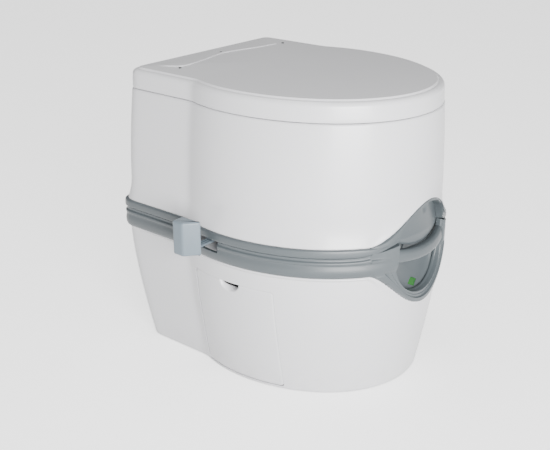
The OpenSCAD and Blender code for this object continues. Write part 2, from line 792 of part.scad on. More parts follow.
module outlet_ring() {
  color(grey)
    ring_tube(0, outlet_y, split_z + gap, split_z + 12, neck_r + gap, neck_r + 3);
}
module flush_nozzle() {
  y0 = bowl_y + bowl_long - 22;
  color(grey) {
    along_y(nozzle_x, y0, y0 + 50, nozzle_z, nozzle_r);
    translate([nozzle_x, y0 + 44, nozzle_z])
      cylinder(h = deck_top - 3 - nozzle_z, r = 5, $fn = 48);
  }
}
barrel_h = 110;
barrel_z0 = deck_top - barrel_h;
piston_z = barrel_z0 + pump_travel + 15;
module pump_barrel() {
  color(pale_grey)
    translate([pump_x, pump_y, 0]) {
      ring_tube(0, 0, barrel_z0, deck_top + 1, pump_r - 2.5, pump_r);
      ring_tube(0, 0, deck_top, deck_top + 2, pump_r - 2.5, pump_r + 5);
      ring_tube(0, 0, barrel_z0, barrel_z0 + 3, 5, pump_r);
    }
}
module pump_piston() {
  color(grey)
    translate([pump_x, pump_y, 0]) {
      translate([0, 0, piston_z])
        cylinder(h = 8, r = pump_r - 2.5 - pin_fit, $fn = 64);
      translate([0, 0, piston_z])
        cylinder(h = deck_top + 20 - piston_z, r = 4, $fn = 48);
      translate([0, 0, deck_top + 8])
        cylinder(h = 14, r = pump_r - 4, $fn = 64);
    }
}
module pump_spring() {
  color("silver")
    helix(pump_x, pump_y, barrel_z0 + 3.1, piston_z - 0.1, 9, 0.9, 7);
}
module suction_tube() {
  color(pale_grey)
    ring_tube(pump_x, pump_y, split_z + 8, barrel_z0 + 1, 2.5, 5 - pin_fit, 32);
}
module filler_neck() {
  color(white) {
    ring_tube(filler_x, filler_y, deck_top - 18, deck_top + 6, filler_r - 5, filler_r - 2);
    ring_tube(filler_x, filler_y, deck_top, deck_top + 1.5, filler_r - 3, filler_r + 3);
  }
}
module filler_cap() {
  z0 = deck_top + 1.8;
  color(grey)
    difference() {
      union() {
        translate([filler_x, filler_y, z0])
          cylinder(h = 14, r = filler_r, $fn = 64);
        translate([filler_x - 3, filler_y - filler_r + 4, z0 + 13])
          cube([6, 2 * filler_r - 8, 6]);
      }
      translate([filler_x, filler_y, z0 - 1])
        cylinder(h = 12, r = filler_r - 2 + pin_fit, $fn = 64);
    }
}

// Seat ring, rounded on top and hinged at the rear
module seat() {
  n = 40;
  function s_ring(k, z) =
    oval_ring(mix(seat_half, bowl_half - 6, k), mix(seat_long, bowl_long - 6, k), bowl_y, z, n);
  color(white)
    difference() {
      union() {
        sweep([s_ring(0.04, seat_z), s_ring(0, seat_z + 3), s_ring(0.03, seat_z + seat_t * 0.6),
          s_ring(0.2, seat_z + seat_t), s_ring(0.6, seat_z + seat_t), s_ring(0.93, seat_z + seat_t * 0.55),
          s_ring(1, seat_z + 3), s_ring(0.97, seat_z)], looped = true);
        for (s = [-1, 1])
          translate([s * seat_lug_x - 9.5, seat_pin_y - 38, seat_z + 1])
            cube([19, 38, 8]);
        for (s = [-1, 1])
          along_x(s * seat_lug_x - 9.5, s * seat_lug_x + 9.5, seat_pin_y, seat_pin_z, 6);
      }
      for (s = [-1, 1])
        along_x(s * seat_lug_x - 20, s * seat_lug_x + 20, seat_pin_y, seat_pin_z, seat_pin_r + pin_fit);
    }
}
module seat_bumpers() {
  color(dark)
    for (s = [-1, 1])
      for (y = [-110, 62])
        translate([s * (bowl_half + 14), y, deck_top + 0.3])
          cylinder(h = seat_z - deck_top - 0.3, r = 7, $fn = 32);
}

// Lid over the whole top, domed, with a skirt
lid_rings = [[0, 1], [0.5, 1.2], [0.72, 2], [0.84, 4], [0.9, 8]];
dome_rings = [20, 50, 95, 145];
module lid() {
  z0 = lid_z + seam / 2;
  rim_h = lid_h - lid_dome - seam / 2;
  edge = rim_h / 0.9;
  d = [0, 0, 0];
  roof = 4;
  function dome(t) = lid_z + lid_h - lid_dome * pow(1 - t / 160, 2);
  color(white)
    difference() {
      union() {
        sweep(concat(
          [for (i = [3 : -1 : 0]) ring(dome(dome_rings[i]) - roof, d, dome_rings[i])],
          [ring(z0 + edge * 0.72 - 1, d, 2 + wall), ring(z0, d, 1 + wall)],
          [for (r = lid_rings) ring(z0 + edge * r[0], d, r[1])],
          [for (t = dome_rings) ring(dome(t), d, t)]), flip = false);
      }
      for (s = [-1, 1])
        translate([s * lid_knuckle_x - lug_half - ear_l - 1, lid_pin_y - knuckle_r - 1, z0 - 1])
          cube([2 * (lug_half + ear_l + 1), 12, knuckle_r + lid_pin_z - z0 + 1.6]);
    }
  color(white)
    for (s = [-1, 1])
      difference() {
        union() {
          along_x(s * lid_knuckle_x - lug_half, s * lid_knuckle_x + lug_half, lid_pin_y, lid_pin_z,
            knuckle_r);
          translate([s * lid_knuckle_x - lug_half, lid_pin_y - knuckle_r, lid_pin_z])
            cube([2 * lug_half, knuckle_r + 1.5, lid_h - 10]);
        }
        along_x(s * lid_knuckle_x - 30, s * lid_knuckle_x + 30, lid_pin_y, lid_pin_z, lid_pin_r + pin_fit);
      }
}

tank_shell();
tank_deck();
belt_lower();
lobe_rim();
grip_dish();
carry_bar();
level_window();
level_float();
level_dial();
valve_frame();
lip_seal();
valve_blade();
valve_rod();
valve_grip();
vent_button();
vent_spring();
pour_spout();
spout_seal();
spout_cap();
spout_recess();
roll_compartment();
roll_door();
roll_cheeks();
door_pins();
roll_pegs();
base_plate();
flush_shell();
belt_upper();
front_hood();
recess_plate();
top_deck();
bowl();
outlet_ring();
flush_nozzle();
pump_barrel();
pump_piston();
pump_spring();
suction_tube();
filler_neck();
filler_cap();
seat();
seat_bumpers();
seat_pins();
lid();
lid_pins();
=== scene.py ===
"""Portable camp toilet: the smooth shells, trims and finishes built round its fixed frame."""

import json
import math

import bmesh
import bpy
import numpy as np
from mathutils import Matrix, Vector


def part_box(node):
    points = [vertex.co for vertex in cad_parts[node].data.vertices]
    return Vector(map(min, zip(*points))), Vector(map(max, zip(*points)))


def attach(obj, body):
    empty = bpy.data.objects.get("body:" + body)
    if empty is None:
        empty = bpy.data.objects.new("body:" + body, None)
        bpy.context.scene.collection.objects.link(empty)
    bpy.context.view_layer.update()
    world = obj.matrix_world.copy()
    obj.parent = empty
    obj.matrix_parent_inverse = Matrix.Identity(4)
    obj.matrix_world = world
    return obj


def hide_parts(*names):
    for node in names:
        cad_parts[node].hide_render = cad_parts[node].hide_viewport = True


bl_info = {
    "name": "Portable Camp Toilet",
    "version": (1, 0, 0),
    "blender": (4, 5, 0),
    "location": "3D View > Sidebar > Camp Toilet",
    "description": "Builds a portable camp toilet's shells, trims, lid and finishes",
    "category": "Add Mesh",
}

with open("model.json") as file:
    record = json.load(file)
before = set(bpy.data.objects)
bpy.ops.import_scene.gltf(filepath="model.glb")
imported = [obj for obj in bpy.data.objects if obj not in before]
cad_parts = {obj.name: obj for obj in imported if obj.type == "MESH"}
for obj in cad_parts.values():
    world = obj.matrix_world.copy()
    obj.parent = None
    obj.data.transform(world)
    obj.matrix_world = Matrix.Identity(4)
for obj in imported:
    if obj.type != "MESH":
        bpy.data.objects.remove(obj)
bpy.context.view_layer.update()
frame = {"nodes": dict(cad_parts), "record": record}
SLOT_OF = {part["node"]: part["material_slot"] for part in frame["record"]["subparts"]}


def low(node):
    """Lowest corner of a node as an array."""
    return np.array(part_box(node)[0])


def high(node):
    """Highest corner of a node as an array."""
    return np.array(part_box(node)[1])


# Heights and reaches that the frame fixes
SEAM = 0.0003
LID_INSET = 0.001
BELT_Z0 = low("belt_lower")[2]
SPLIT_Z = high("belt_lower")[2] + SEAM
BELT_Z1 = high("belt_upper")[2]
TANK_TOP = high("flush_shell")[2]
LID_Z = TANK_TOP + 0.0015
LID_TOP = high("lid")[2]
EYE_HALF = high("lobe_rim")[0]
EYE_Z = BELT_Z1 + 0.001
HOOD_RISE = high("front_hood")[2] - EYE_Z
LOBE_DROP = BELT_Z0 - low("lobe_rim")[2]
BAR_Z = low("carry_bar")[2] + 0.0137
DOOR_LOW, DOOR_HIGH = low("roll_door"), high("roll_door")
GRIP_LOW, GRIP_HIGH = low("valve_grip"), high("valve_grip")
ROD_LOW, ROD_HIGH = low("valve_rod"), high("valve_rod")
BAY_LOW, BAY_HIGH = low("spout_recess"), high("spout_recess")

# Shares and curves of the design
RECESS_HALF, RECESS_RISE = 0.057, 0.044
DISH_DROP, DISH_DEPTH, CHEEK = 0.050, 0.040, 0.24
DISH_MID = BELT_Z0 + 0.006
TRIM_GAP = 0.0006
LOW_TOP, LOW_BASE = np.array([0.0125, 0.007, 0.007]), np.array([-0.015, -0.0205, -0.008])
BELT_REACH = np.array([0.0185, 0.0123, 0.0109])
FLARE_GAIN = np.array([1.0, 0.55, 0.5])
FLARE_H = 0.038
PART_RISE, PART_FADE = 0.0025, 0.009
# Belt sections: height over the belt's foot or over the parting, and set-in from its full reach
LOW_BAND = np.array([[0, 3.5], [1, 2.2], [4, 0.8], [9, 0.1], [13, 0.3], [19, 1.7], [20.5, 1.5], [21.5, 0.5],
                     [24.5, 0.4], [25.6, 2.0], [26.4, 3.0], [29.7, 3.0]]) / 1000
UP_BAND = np.array([[0.3, 2.6], [1.2, 1.2], [2.6, 0.2], [6, 0], [10, 0.2], [12, 0.7], [13, 1.8]]) / 1000
UP_BAND_H = 0.013
# Sizes of single pieces: the door, the hinge lugs, the bowl, the dark dots on the lid, the front plate and
# the bar
DOOR_SEAM, DOOR_CORNER = 0.0010, 0.0055
LID_LUG_X, LID_LUG_HALF, LID_LUG_R = 0.105, 0.0065, 0.0042
SEAT_LUG_X, SEAT_LUG_HALF, SEAT_LUG_R, SEAT_LUG_REACH = 0.056, 0.0095, 0.006, 0.038
BOWL_RIM, BOWL_WALL = 0.008, 0.003
DOT_R = 0.002
DOT_PLACES = ((0, 0.1685), (-0.119, 0.1405), (0.119, 0.1405))
DIMPLE_X, DIMPLE_RISE, DIMPLE_R, DIMPLE_DEEP = 0.009, 0.031, 0.0095, 0.0022
PLATE_DEEP, PLATE_BACK, PLATE_SAG = 0.0093, 0.0135, 0.0165
BAR_HALF_H, BAR_HALF_T, BAR_BOW = 0.0085, 0.0065, 0.005
# Lights: name, place, target, size and power
LIGHTS = (("key", (-1.35, -1.85, 0.66), (0, 0, 0.33), 1.3, 140),
          ("side", (-2.3, 0.5, 0.9), (0, 0, 0.3), 0.9, 6),
          ("top", (0.2, 0.6, 2.4), (0, 0, 0.3), 1.0, 17))
WORLD_STRENGTH, FLOOR_GLOW, FLOOR_HALF = 0.42, 1.5, 25
# Points on the stretches of the plan outline, and passes of smoothing over it
OVAL_POINTS, SIDE_POINTS, CORNER_POINTS, REAR_POINTS = 150, 30, 12, 40
SOFTENING = 7


# ---------------------------------------------------------------- settings
class BodySizes(bpy.types.PropertyGroup):
    """Plan outline of the toilet at the lid's parting."""
    block_half: bpy.props.FloatProperty(
        name="Block half width", description="Half width of the rear block",
        default=high("lid")[0] - 0.013, unit="LENGTH")
    oval_half: bpy.props.FloatProperty(
        name="Oval half width", description="Half width of the oval front part",
        default=high("lid")[0] + LID_INSET, unit="LENGTH")
    oval_y: bpy.props.FloatProperty(
        name="Oval middle", description="Place of the oval's middle behind the origin",
        default=0.0025, unit="LENGTH")
    oval_front: bpy.props.FloatProperty(
        name="Front reach", description="Reach of the oval in front of its middle",
        default=0.0025 + LID_INSET - low("lid")[1], unit="LENGTH")
    oval_rear: bpy.props.FloatProperty(
        name="Rear reach", description="Reach of the oval behind its middle",
        default=0.196, unit="LENGTH")
    rear_y: bpy.props.FloatProperty(
        name="Rear wall", description="Place of the flat rear wall",
        default=0.214, unit="LENGTH")
    corner_r: bpy.props.FloatProperty(
        name="Corner radius", description="Radius of the two rear corners",
        default=0.022, unit="LENGTH")
    wall: bpy.props.FloatProperty(
        name="Wall", description="Wall of the moulded shells", default=0.003, unit="LENGTH")
    bulge: bpy.props.FloatProperty(
        name="Bulge", description="How far the flush tank bulges at the side",
        default=0.0083, unit="LENGTH")
    lip: bpy.props.FloatProperty(
        name="Lip", description="How far the flush tank's lip stands out over the belt",
        default=0.015, unit="LENGTH")
    proud: bpy.props.FloatProperty(
        name="Trim height", description="How far the hood and the lobe stand proud",
        default=0.0053, unit="LENGTH")
    dome: bpy.props.FloatProperty(
        name="Lid dome", description="Rise of the lid's dome", default=0.004, unit="LENGTH")


class Finishes(bpy.types.PropertyGroup):
    """Colours of the plastics."""
    shell: bpy.props.FloatVectorProperty(
        name="Shell", description="White of the moulded shells", subtype="COLOR",
        size=3, default=(0.79, 0.79, 0.81), min=0, max=1)
    inner: bpy.props.FloatVectorProperty(
        name="Inside", description="White of the bowl, the deck and the seat", subtype="COLOR",
        size=3, default=(0.74, 0.74, 0.74), min=0, max=1)
    belt: bpy.props.FloatVectorProperty(
        name="Belt", description="Blue grey of the belt and the eye", subtype="COLOR",
        size=3, default=(0.083, 0.098, 0.106), min=0, max=1)
    grip: bpy.props.FloatVectorProperty(
        name="Grip", description="Paler blue grey of the grip", subtype="COLOR",
        size=3, default=(0.165, 0.208, 0.243), min=0, max=1)
    window: bpy.props.FloatVectorProperty(
        name="Level window", description="Green of the level window", subtype="COLOR",
        size=3, default=(0.02, 0.13, 0.02), min=0, max=1)


class StudioView(bpy.types.PropertyGroup):
    """Where the camera stands."""
    azimuth: bpy.props.FloatProperty(
        name="Azimuth", description="Turn of the camera round the toilet",
        default=math.radians(-50.46), subtype="ANGLE")
    elevation: bpy.props.FloatProperty(
        name="Elevation", description="Angle of the camera over the horizon",
        default=math.radians(22.04), subtype="ANGLE")
    distance: bpy.props.FloatProperty(
        name="Distance", description="Distance of the camera from its target",
        default=1.432, unit="LENGTH")
    target: bpy.props.FloatVectorProperty(
        name="Target", description="Point that the camera looks at", subtype="TRANSLATION",
        size=3, default=(-0.0709, 0.0, 0.2193))
    lens: bpy.props.FloatProperty(
        name="Lens", description="Focal length in millimetres", default=62.42, min=10)


# ---------------------------------------------------------------- numbers
def mix(a, b, share):
    """The point between a and b at a share of the way."""
    return a + (b - a) * share


def ease(share):
    """Smooth step: three times the square less twice the cube of the share, held to 0 and 1."""
    share = np.clip(share, 0, 1)
    return share * share * (3 - 2 * share)


def blur(points, closed, times=SOFTENING):
    """Each point moves to the weighted middle of itself and its two neighbours, several times."""
    for _ in range(times):
        soft = (np.roll(points, 1, 1) + 2 * points + np.roll(points, -1, 1)) / 4
        if not closed:
            soft[:, [0, -1]] = points[:, [0, -1]]
        points = soft
    return points


def outline(size, stand, inset=0.0, open_x=0.0):
    """Plan loops, one row for each stand-out [side, front, rear]: an ellipse from the front to
    where it meets the block's side, the straight side, a round corner and the straight rear,
    then the mirror of it all. With an open_x the loop starts at that x and stays open."""
    stand = np.atleast_2d(stand)
    inset = np.broadcast_to(np.asarray(inset, float), len(stand))[:, None]
    side, front, rear = (stand[:, i:i + 1] - inset for i in range(3))
    block, oval = size.block_half + side, size.oval_half + side
    radius = np.maximum(0.002, size.corner_r - inset)
    end = np.arccos(block / oval)
    start = -np.arccos(open_x / oval)
    angle = mix(start, end, np.linspace(0, 1, OVAL_POINTS))
    reach = np.where(angle < 0, size.oval_front + front, size.oval_rear + side)
    curve = np.stack([oval * np.cos(angle), size.oval_y + reach * np.sin(angle)], -1)
    back = size.rear_y + rear
    along = np.linspace(0, 1, SIDE_POINTS + 2)[1:-1]
    straight_y = mix(curve[:, -1, 1:2], back - radius, along)
    straight = np.stack([np.broadcast_to(block, straight_y.shape), straight_y], -1)
    turn = np.linspace(0, math.pi / 2, CORNER_POINTS)
    corner = np.stack([block - radius + radius * np.cos(turn), back - radius + radius * np.sin(turn)], -1)
    rear_x = (block - radius) * np.linspace(1, 0, REAR_POINTS + 1)[1:]
    rear_part = np.stack([rear_x, np.broadcast_to(back, rear_x.shape)], -1)
    half = np.concatenate([curve, straight, corner, rear_part], 1)
    mirrored = (half * [-1, 1])[:, ::-1][:, 1:None if open_x else -1]
    return blur(np.concatenate([half, mirrored], 1), closed=not open_x)


def rings(size, heights, stand, inset=0.0, open_x=0.0):
    """Plan loops, each lifted to its own height."""
    loops = outline(size, stand, inset, open_x)
    lifted = np.broadcast_to(np.asarray(heights, float)[:, None, None], loops.shape[:2] + (1,))
    return np.concatenate([loops, lifted], -1)


def low_stand(z):
    """Stand-out of the waste tank: it falls from the belt to the floor by a power of 1.45."""
    share = np.clip(1 - np.asarray(z)[..., None] / BELT_Z0, 0, 1) ** 1.45
    return mix(LOW_TOP, LOW_BASE, share)


def flare(size, height):
    """Extra stand-out of the lip at a height over the belt, by a power of 2.2."""
    return (size.lip - size.bulge) * np.clip(1 - height / FLARE_H, 0, 1) ** 2.2


def up_stand(size, z):
    """Stand-out of the flush tank: a bulge that fades to the lid, and the lip's flare."""
    z = np.asarray(z, float)
    start = BELT_Z1 + FLARE_H
    fade = np.clip((z - start) / (LID_Z - start), 0, 1) ** 1.6
    return (size.bulge * (1 - fade) + flare(size, z - BELT_Z1))[..., None] * FLARE_GAIN


def skin_stand(size, z):
    """Stand-out of the skin at any height, blended across the belt."""
    z = np.asarray(z, float)
    share = np.clip((z - BELT_Z0) / (BELT_Z1 - BELT_Z0), 0, 1)[..., None]
    belt = mix(LOW_TOP, up_stand(size, BELT_Z1), share)
    below, above = (z < BELT_Z0)[..., None], (z > BELT_Z1)[..., None]
    return np.where(below, low_stand(z), np.where(above, up_stand(size, z), belt))


def on_skin(size, x, z, over):
    """Points over the front skin: the ellipse of that height, grown by how far they stand over it."""
    stand = skin_stand(size, z)
    half = size.oval_half + stand[..., 0] + over
    front = size.oval_front + stand[..., 1] + over
    y = size.oval_y - front * np.sqrt(np.clip(1 - (x / half) ** 2, 0, 1))
    return np.stack([x, y, z], -1)


def side_x(size, y, z, inset):
    """Left side of the waste tank at y and z, set in by a wall."""
    stand = low_stand(z)
    reach = np.where(y < size.oval_y, size.oval_front + stand[..., 1], size.oval_rear + stand[..., 0])
    return inset - (size.oval_half + stand[..., 0]) * np.sqrt(1 - ((y - size.oval_y) / reach) ** 2)


def push(grid, amount):
    """Moves a grid's points along their outward normals by the given amounts."""
    around, up = np.gradient(grid, axis=1), np.gradient(grid, axis=0)
    normal = np.cross(around, up)
    normal /= np.maximum(np.linalg.norm(normal, axis=-1, keepdims=True), 1e-12)
    return grid + normal * amount[..., None]


def distance_to(x, z, curve):
    """Least distance, in the front view, from each point to a curve's samples."""
    flat = np.stack([x.ravel(), z.ravel()], -1)
    best = np.full(len(flat), np.inf)
    for sample in np.array_split(curve, 8):
        gaps = np.linalg.norm(flat[:, None] - sample[None], axis=-1)
        best = np.minimum(best, gaps.min(1))
    return best.reshape(x.shape)


# ---------------------------------------------------------------- curves of the eye
def parting(x):
    """Height of the parting of the two units: flat round the toilet, it rises by an exponential
    near the eye and then in a straight line to the recess."""
    reach = np.abs(x)
    foot = SPLIT_Z + PART_RISE
    fade = SPLIT_Z + PART_RISE * np.exp(-np.maximum(reach - EYE_HALF, 0) / PART_FADE)
    line = mix(foot, EYE_Z, (EYE_HALF - reach) / (EYE_HALF - RECESS_HALF))
    return np.where(reach > EYE_HALF, fade, line)


def bell(k, power):
    """A raised cosine to a power: 1 in the middle and 0 at both ends."""
    return (0.5 + 0.5 * np.cos(np.pi * k)) ** power


def hood_outer(k):
    """Outer edge of the hood, a bell over the eye's width."""
    return EYE_HALF * k, EYE_Z + HOOD_RISE * bell(k, 0.8)


def hood_inner(k):
    """Inner edge of the hood: the parting's slope, then a half ellipse over the recess."""
    reach = np.abs(k)
    slope = np.clip((reach - 0.62) / 0.38, 0, 1)
    turn = np.clip(reach / 0.62, 0, 1) * np.pi / 2
    x = np.where(reach > 0.62, mix(RECESS_HALF, EYE_HALF, slope), RECESS_HALF * np.sin(turn))
    z = np.where(reach > 0.62, parting(x), EYE_Z + RECESS_RISE * np.cos(turn))
    return np.sign(k) * x, z


def lobe_outer(k):
    """Outer edge of the lower lobe: a bell under the belt, and upright ends at the cheeks."""
    climb = (np.abs(k) - 1 + CHEEK) / CHEEK
    c = np.clip(k / (1 - CHEEK), -1, 1)
    upright = mix(BELT_Z0, parting(EYE_HALF) - TRIM_GAP, climb)
    return (np.where(climb > 0, np.sign(k) * EYE_HALF, EYE_HALF * c),
            np.where(climb > 0, upright, BELT_Z0 - LOBE_DROP * bell(c, 0.65)))


def lobe_inner(k):
    """Edge of the dish: a half ellipse below, and upright ends at the cheeks."""
    climb = (np.abs(k) - 1 + CHEEK) / CHEEK
    c = np.clip(k / (1 - CHEEK), -1, 1) * np.pi / 2
    upright = mix(DISH_MID, EYE_Z - TRIM_GAP, climb)
    return (np.where(climb > 0, np.sign(k) * RECESS_HALF, RECESS_HALF * np.sin(c)),
            np.where(climb > 0, upright, DISH_MID - DISH_DROP * np.cos(c)))


def between(outer, inner, k, share):
    """Points between two edges at a share of the way in."""
    return mix(outer(k)[0], inner(k)[0], share), mix(outer(k)[1], inner(k)[1], share)


# ---------------------------------------------------------------- meshes
def patch(grid, around=False, along=False, first=False, last=False):
    """Faces of a grid of points: quads between neighbours, joined round where asked, and
    one flat face over the first or the last row where asked."""
    rows, columns = grid.shape[:2]
    index = np.arange(rows * columns).reshape(rows, columns)
    wrapped = np.hstack([index, index[:, :1]]) if around else index
    wrapped = np.vstack([wrapped, wrapped[:1]]) if along else wrapped
    quads = np.stack([wrapped[:-1, :-1], wrapped[:-1, 1:], wrapped[1:, 1:], wrapped[1:, :-1]], -1)
    faces = quads.reshape(-1, 4).tolist()
    if first:
        faces.append(index[0, ::-1].tolist())
    if last:
        faces.append(index[-1].tolist())
    return grid.reshape(-1, 3), faces


def slab(front, back):
    """A closed sheet between two grids, with walls round their edges."""
    rows, columns = front.shape[:2]
    loop = np.stack([front, back], 0)
    index = np.arange(loop[..., 0].size).reshape(2, rows, columns)
    faces = []
    for side, order in ((0, 1), (1, -1)):
        i = index[side]
        quads = np.stack([i[:-1, :-1], i[:-1, 1:], i[1:, 1:], i[1:, :-1]], -1)
        faces += quads.reshape(-1, 4)[:, ::order].tolist()
    edge = np.concatenate([index[:, 0, :], index[:, 1:, -1],
                           index[:, -1, -2::-1], index[:, -2:0:-1, 0]], 1)
    after = np.roll(edge, -1, 1)
    faces += np.stack([edge[0], edge[1], after[1], after[0]], -1).tolist()
    return loop.reshape(-1, 3), faces


def joined(*parts):
    """Several sets of points and faces as one."""
    points, faces, count = [], [], 0
    for p, f in parts:
        points.append(p)
        faces += [[i + count for i in face] for face in f]
        count += len(p)
    return np.concatenate(points), faces


def ring_loft(loop, levels):
    """A solid of one plan loop at several levels [height, set-in], closed above and below. The
    loop is set in along its own normals in the plan."""
    tangent = np.roll(loop, -1, 0) - np.roll(loop, 1, 0)
    normal = np.stack([tangent[:, 1], -tangent[:, 0]], -1)
    normal /= np.maximum(np.linalg.norm(normal, axis=1, keepdims=True), 1e-12)
    grid = np.stack([np.c_[loop - normal * inset, np.full(len(loop), z)] for z, inset in levels])
    return patch(grid, around=True, first=True, last=True)


def rectangle(y0, z0, y1, z1):
    """Four corners of a rectangle, anticlockwise from its lowest."""
    return [(y0, z0), (y1, z0), (y1, z1), (y0, z1)]


def circle(x, y, radius, count):
    """Evenly spaced points of a circle."""
    angle = np.linspace(0, 2 * np.pi, count + 1)[:-1]
    return np.c_[x + radius * np.cos(angle), y + radius * np.sin(angle)]


def rounded(corners, radius, steps=8):
    """A polygon whose corners are rounded: each corner becomes a short quadratic curve."""
    corners = np.asarray(corners, float)
    to_next, to_last = np.roll(corners, -1, 0) - corners, np.roll(corners, 1, 0) - corners
    start = corners + to_last * radius / np.linalg.norm(to_last, axis=1, keepdims=True)
    end = corners + to_next * radius / np.linalg.norm(to_next, axis=1, keepdims=True)
    t = np.linspace(0, 1, steps)[None, :, None]
    curve = (1 - t) ** 2 * start[:, None] + 2 * t * (1 - t) * corners[:, None] + t ** 2 * end[:, None]
    return curve.reshape(-1, 2)


def soft_levels(z0, z1, radius, steps=6):
    """Levels of a loft whose upper and lower edges are quarter rounds."""
    turn = np.linspace(0, math.pi / 2, steps)
    inset, rise = radius * (1 - np.sin(turn)), radius * (1 - np.cos(turn))
    below = np.c_[z0 + rise, inset]
    above = np.c_[z1 - rise[::-1], inset[::-1]]
    return np.r_[below, above]


def turned(part, axis):
    """The same part with its height laid along x or y."""
    points, faces = part
    order = {"x": [2, 0, 1], "y": [1, 2, 0]}[axis]
    return points[:, order], faces


def mesh_of(name, part, sharp):
    """A mesh with doubled points merged, faces outwards, and edges sharp past an angle."""
    points, faces = part
    mesh = bpy.data.meshes.new(name)
    mesh.from_pydata(points.tolist(), [], faces)
    work = bmesh.new()
    work.from_mesh(mesh)
    bmesh.ops.remove_doubles(work, verts=work.verts, dist=1e-6)
    bmesh.ops.recalc_face_normals(work, faces=work.faces)
    work.to_mesh(mesh)
    work.free()
    finish_mesh(mesh, sharp)
    return mesh


def finish_mesh(mesh, sharp):
    """Smooth faces, with edges sharp past an angle in degrees."""
    mesh.shade_smooth()
    mesh.set_sharp_from_angle(angle=math.radians(sharp))


def piece(name, part, body, nodes=(), slot=None, sharp=35.0, cutters=()):
    """A piece of the toilet: its mesh, its cuts, the body it rides on, the nodes it stands for
    and its finish."""
    made = bpy.data.objects.new(name, mesh_of(name, part, sharp))
    bpy.context.scene.collection.objects.link(made)
    if cutters:
        cut(made, cutters, sharp)
    slot = slot or SLOT_OF[nodes[0]]
    made.data.materials.clear()
    made.data.materials.append(finish_of(slot))
    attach(made, body)
    if nodes:
        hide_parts(*nodes)
    return made


def cut(made, cutters, sharp):
    """Takes closed cutters out of a piece and keeps the result as its mesh."""
    tools = []
    for number, part in enumerate(cutters):
        tool = bpy.data.objects.new(f"cutter_{number}", mesh_of("cutter", part, sharp))
        bpy.context.scene.collection.objects.link(tool)
        modifier = made.modifiers.new(f"cut_{number}", "BOOLEAN")
        modifier.operation, modifier.solver, modifier.object = "DIFFERENCE", "EXACT", tool
        tools.append(tool)
    graph = bpy.context.evaluated_depsgraph_get()
    result = bpy.data.meshes.new_from_object(made.evaluated_get(graph))
    made.modifiers.clear()
    made.data = result
    for tool in tools:
        bpy.data.objects.remove(tool)
    finish_mesh(result, sharp)


# ---------------------------------------------------------------- finishes
class Wire:
    """A shader socket that works in expressions: each operator adds one Math node."""

    def __init__(self, tree, socket):
        self.tree, self.socket = tree, socket

    def node(self, kind, settings=None, inputs=None, output=0):
        """Adds a node, sets its settings first, then the values or links of its inputs."""
        made = self.tree.nodes.new(kind)
        for name, value in (settings or {}).items():
            if name == "stops":
                for element, (place, colour) in zip(made.color_ramp.elements, value):
                    element.position, element.color = place, colour
            else:
                setattr(made, name, value)
        for name, value in (inputs or {}).items():
            socket = made.inputs[name]
            if isinstance(value, Wire):
                self.tree.links.new(value.socket, socket)
            else:
                socket.default_value = value
        return Wire(self.tree, made.outputs[output])

    def math(self, operation, a, b=0.0, clamp=False):
        return self.node("ShaderNodeMath", {"operation": operation, "use_clamp": clamp}, {0: a, 1: b})

    def __add__(self, other):
        return self.math("ADD", self, other)

    __radd__ = __add__

    def __sub__(self, other):
        return self.math("SUBTRACT", self, other)

    def __rsub__(self, other):
        return self.math("SUBTRACT", other, self)

    def __mul__(self, other):
        return self.math("MULTIPLY", self, other)

    __rmul__ = __mul__

    def clamped(self):
        return self.math("ADD", self, 0.0, clamp=True)


def noise(place, scale, detail=2.0):
    """Noise from 0 to 1 at a place."""
    return place.node("ShaderNodeTexNoise", None, {"Vector": place, "Scale": scale, "Detail": detail})


def moulded(name, colour, rough, grain=900.0, depth=0.00003, coat=0.0, metallic=0.0, low_patch_height=0.0, peel=0.5):
    """Moulded plastic: a slow drift of tone, fine grain and orange peel in the surface, a
    roughness that follows both, and darker, rougher noise patches low down where a height for them is given."""
    material = bpy.data.materials.new(name)
    material.use_nodes = True
    tree = material.node_tree
    shader = tree.nodes["Principled BSDF"]
    place = Wire(tree, None).node("ShaderNodeTexCoord", output="Object")
    drift, fine = noise(place, 7.0, 3.0), noise(place, grain, 2.0)
    ripple = noise(place, grain / 9, 1.0)
    base, shade = np.array(colour), np.array(colour) * 0.93
    tone = place.node("ShaderNodeMix", {"data_type": "RGBA"},
                      {"Factor": drift, 6: (*base, 1), 7: (*shade, 1)}, output=2)
    roughness = rough + (drift - 0.5) * 0.10 + (fine - 0.5) * 0.12
    # Darker, rougher noise patches, strongest at the floor and gone at the given height
    if low_patch_height:
        height = place.node("ShaderNodeSeparateXYZ", None, {"Vector": place}, output=2)
        low_patches = ((1 - height * (1 / low_patch_height)).clamped() * (noise(place, 55.0, 5.0) * 2.4 - 0.9)).clamped()
        tone = place.node("ShaderNodeMix", {"data_type": "RGBA"},
                          {"Factor": low_patches * 0.35, 6: tone, 7: (*(base * 0.72), 1)}, output=2)
        roughness = roughness + low_patches * 0.2
    bump = place.node("ShaderNodeBump", None,
                      {"Height": fine * (1 - peel) + ripple * peel, "Strength": 0.6, "Distance": depth})
    for socket, value in (("Base Color", tone), ("Roughness", roughness.clamped()), ("Normal", bump)):
        tree.links.new(value.socket, shader.inputs[socket])
    shader.inputs["Coat Weight"].default_value = coat
    shader.inputs["Coat Roughness"].default_value = 0.12
    shader.inputs["Metallic"].default_value = metallic
    return material


FINISH = {}


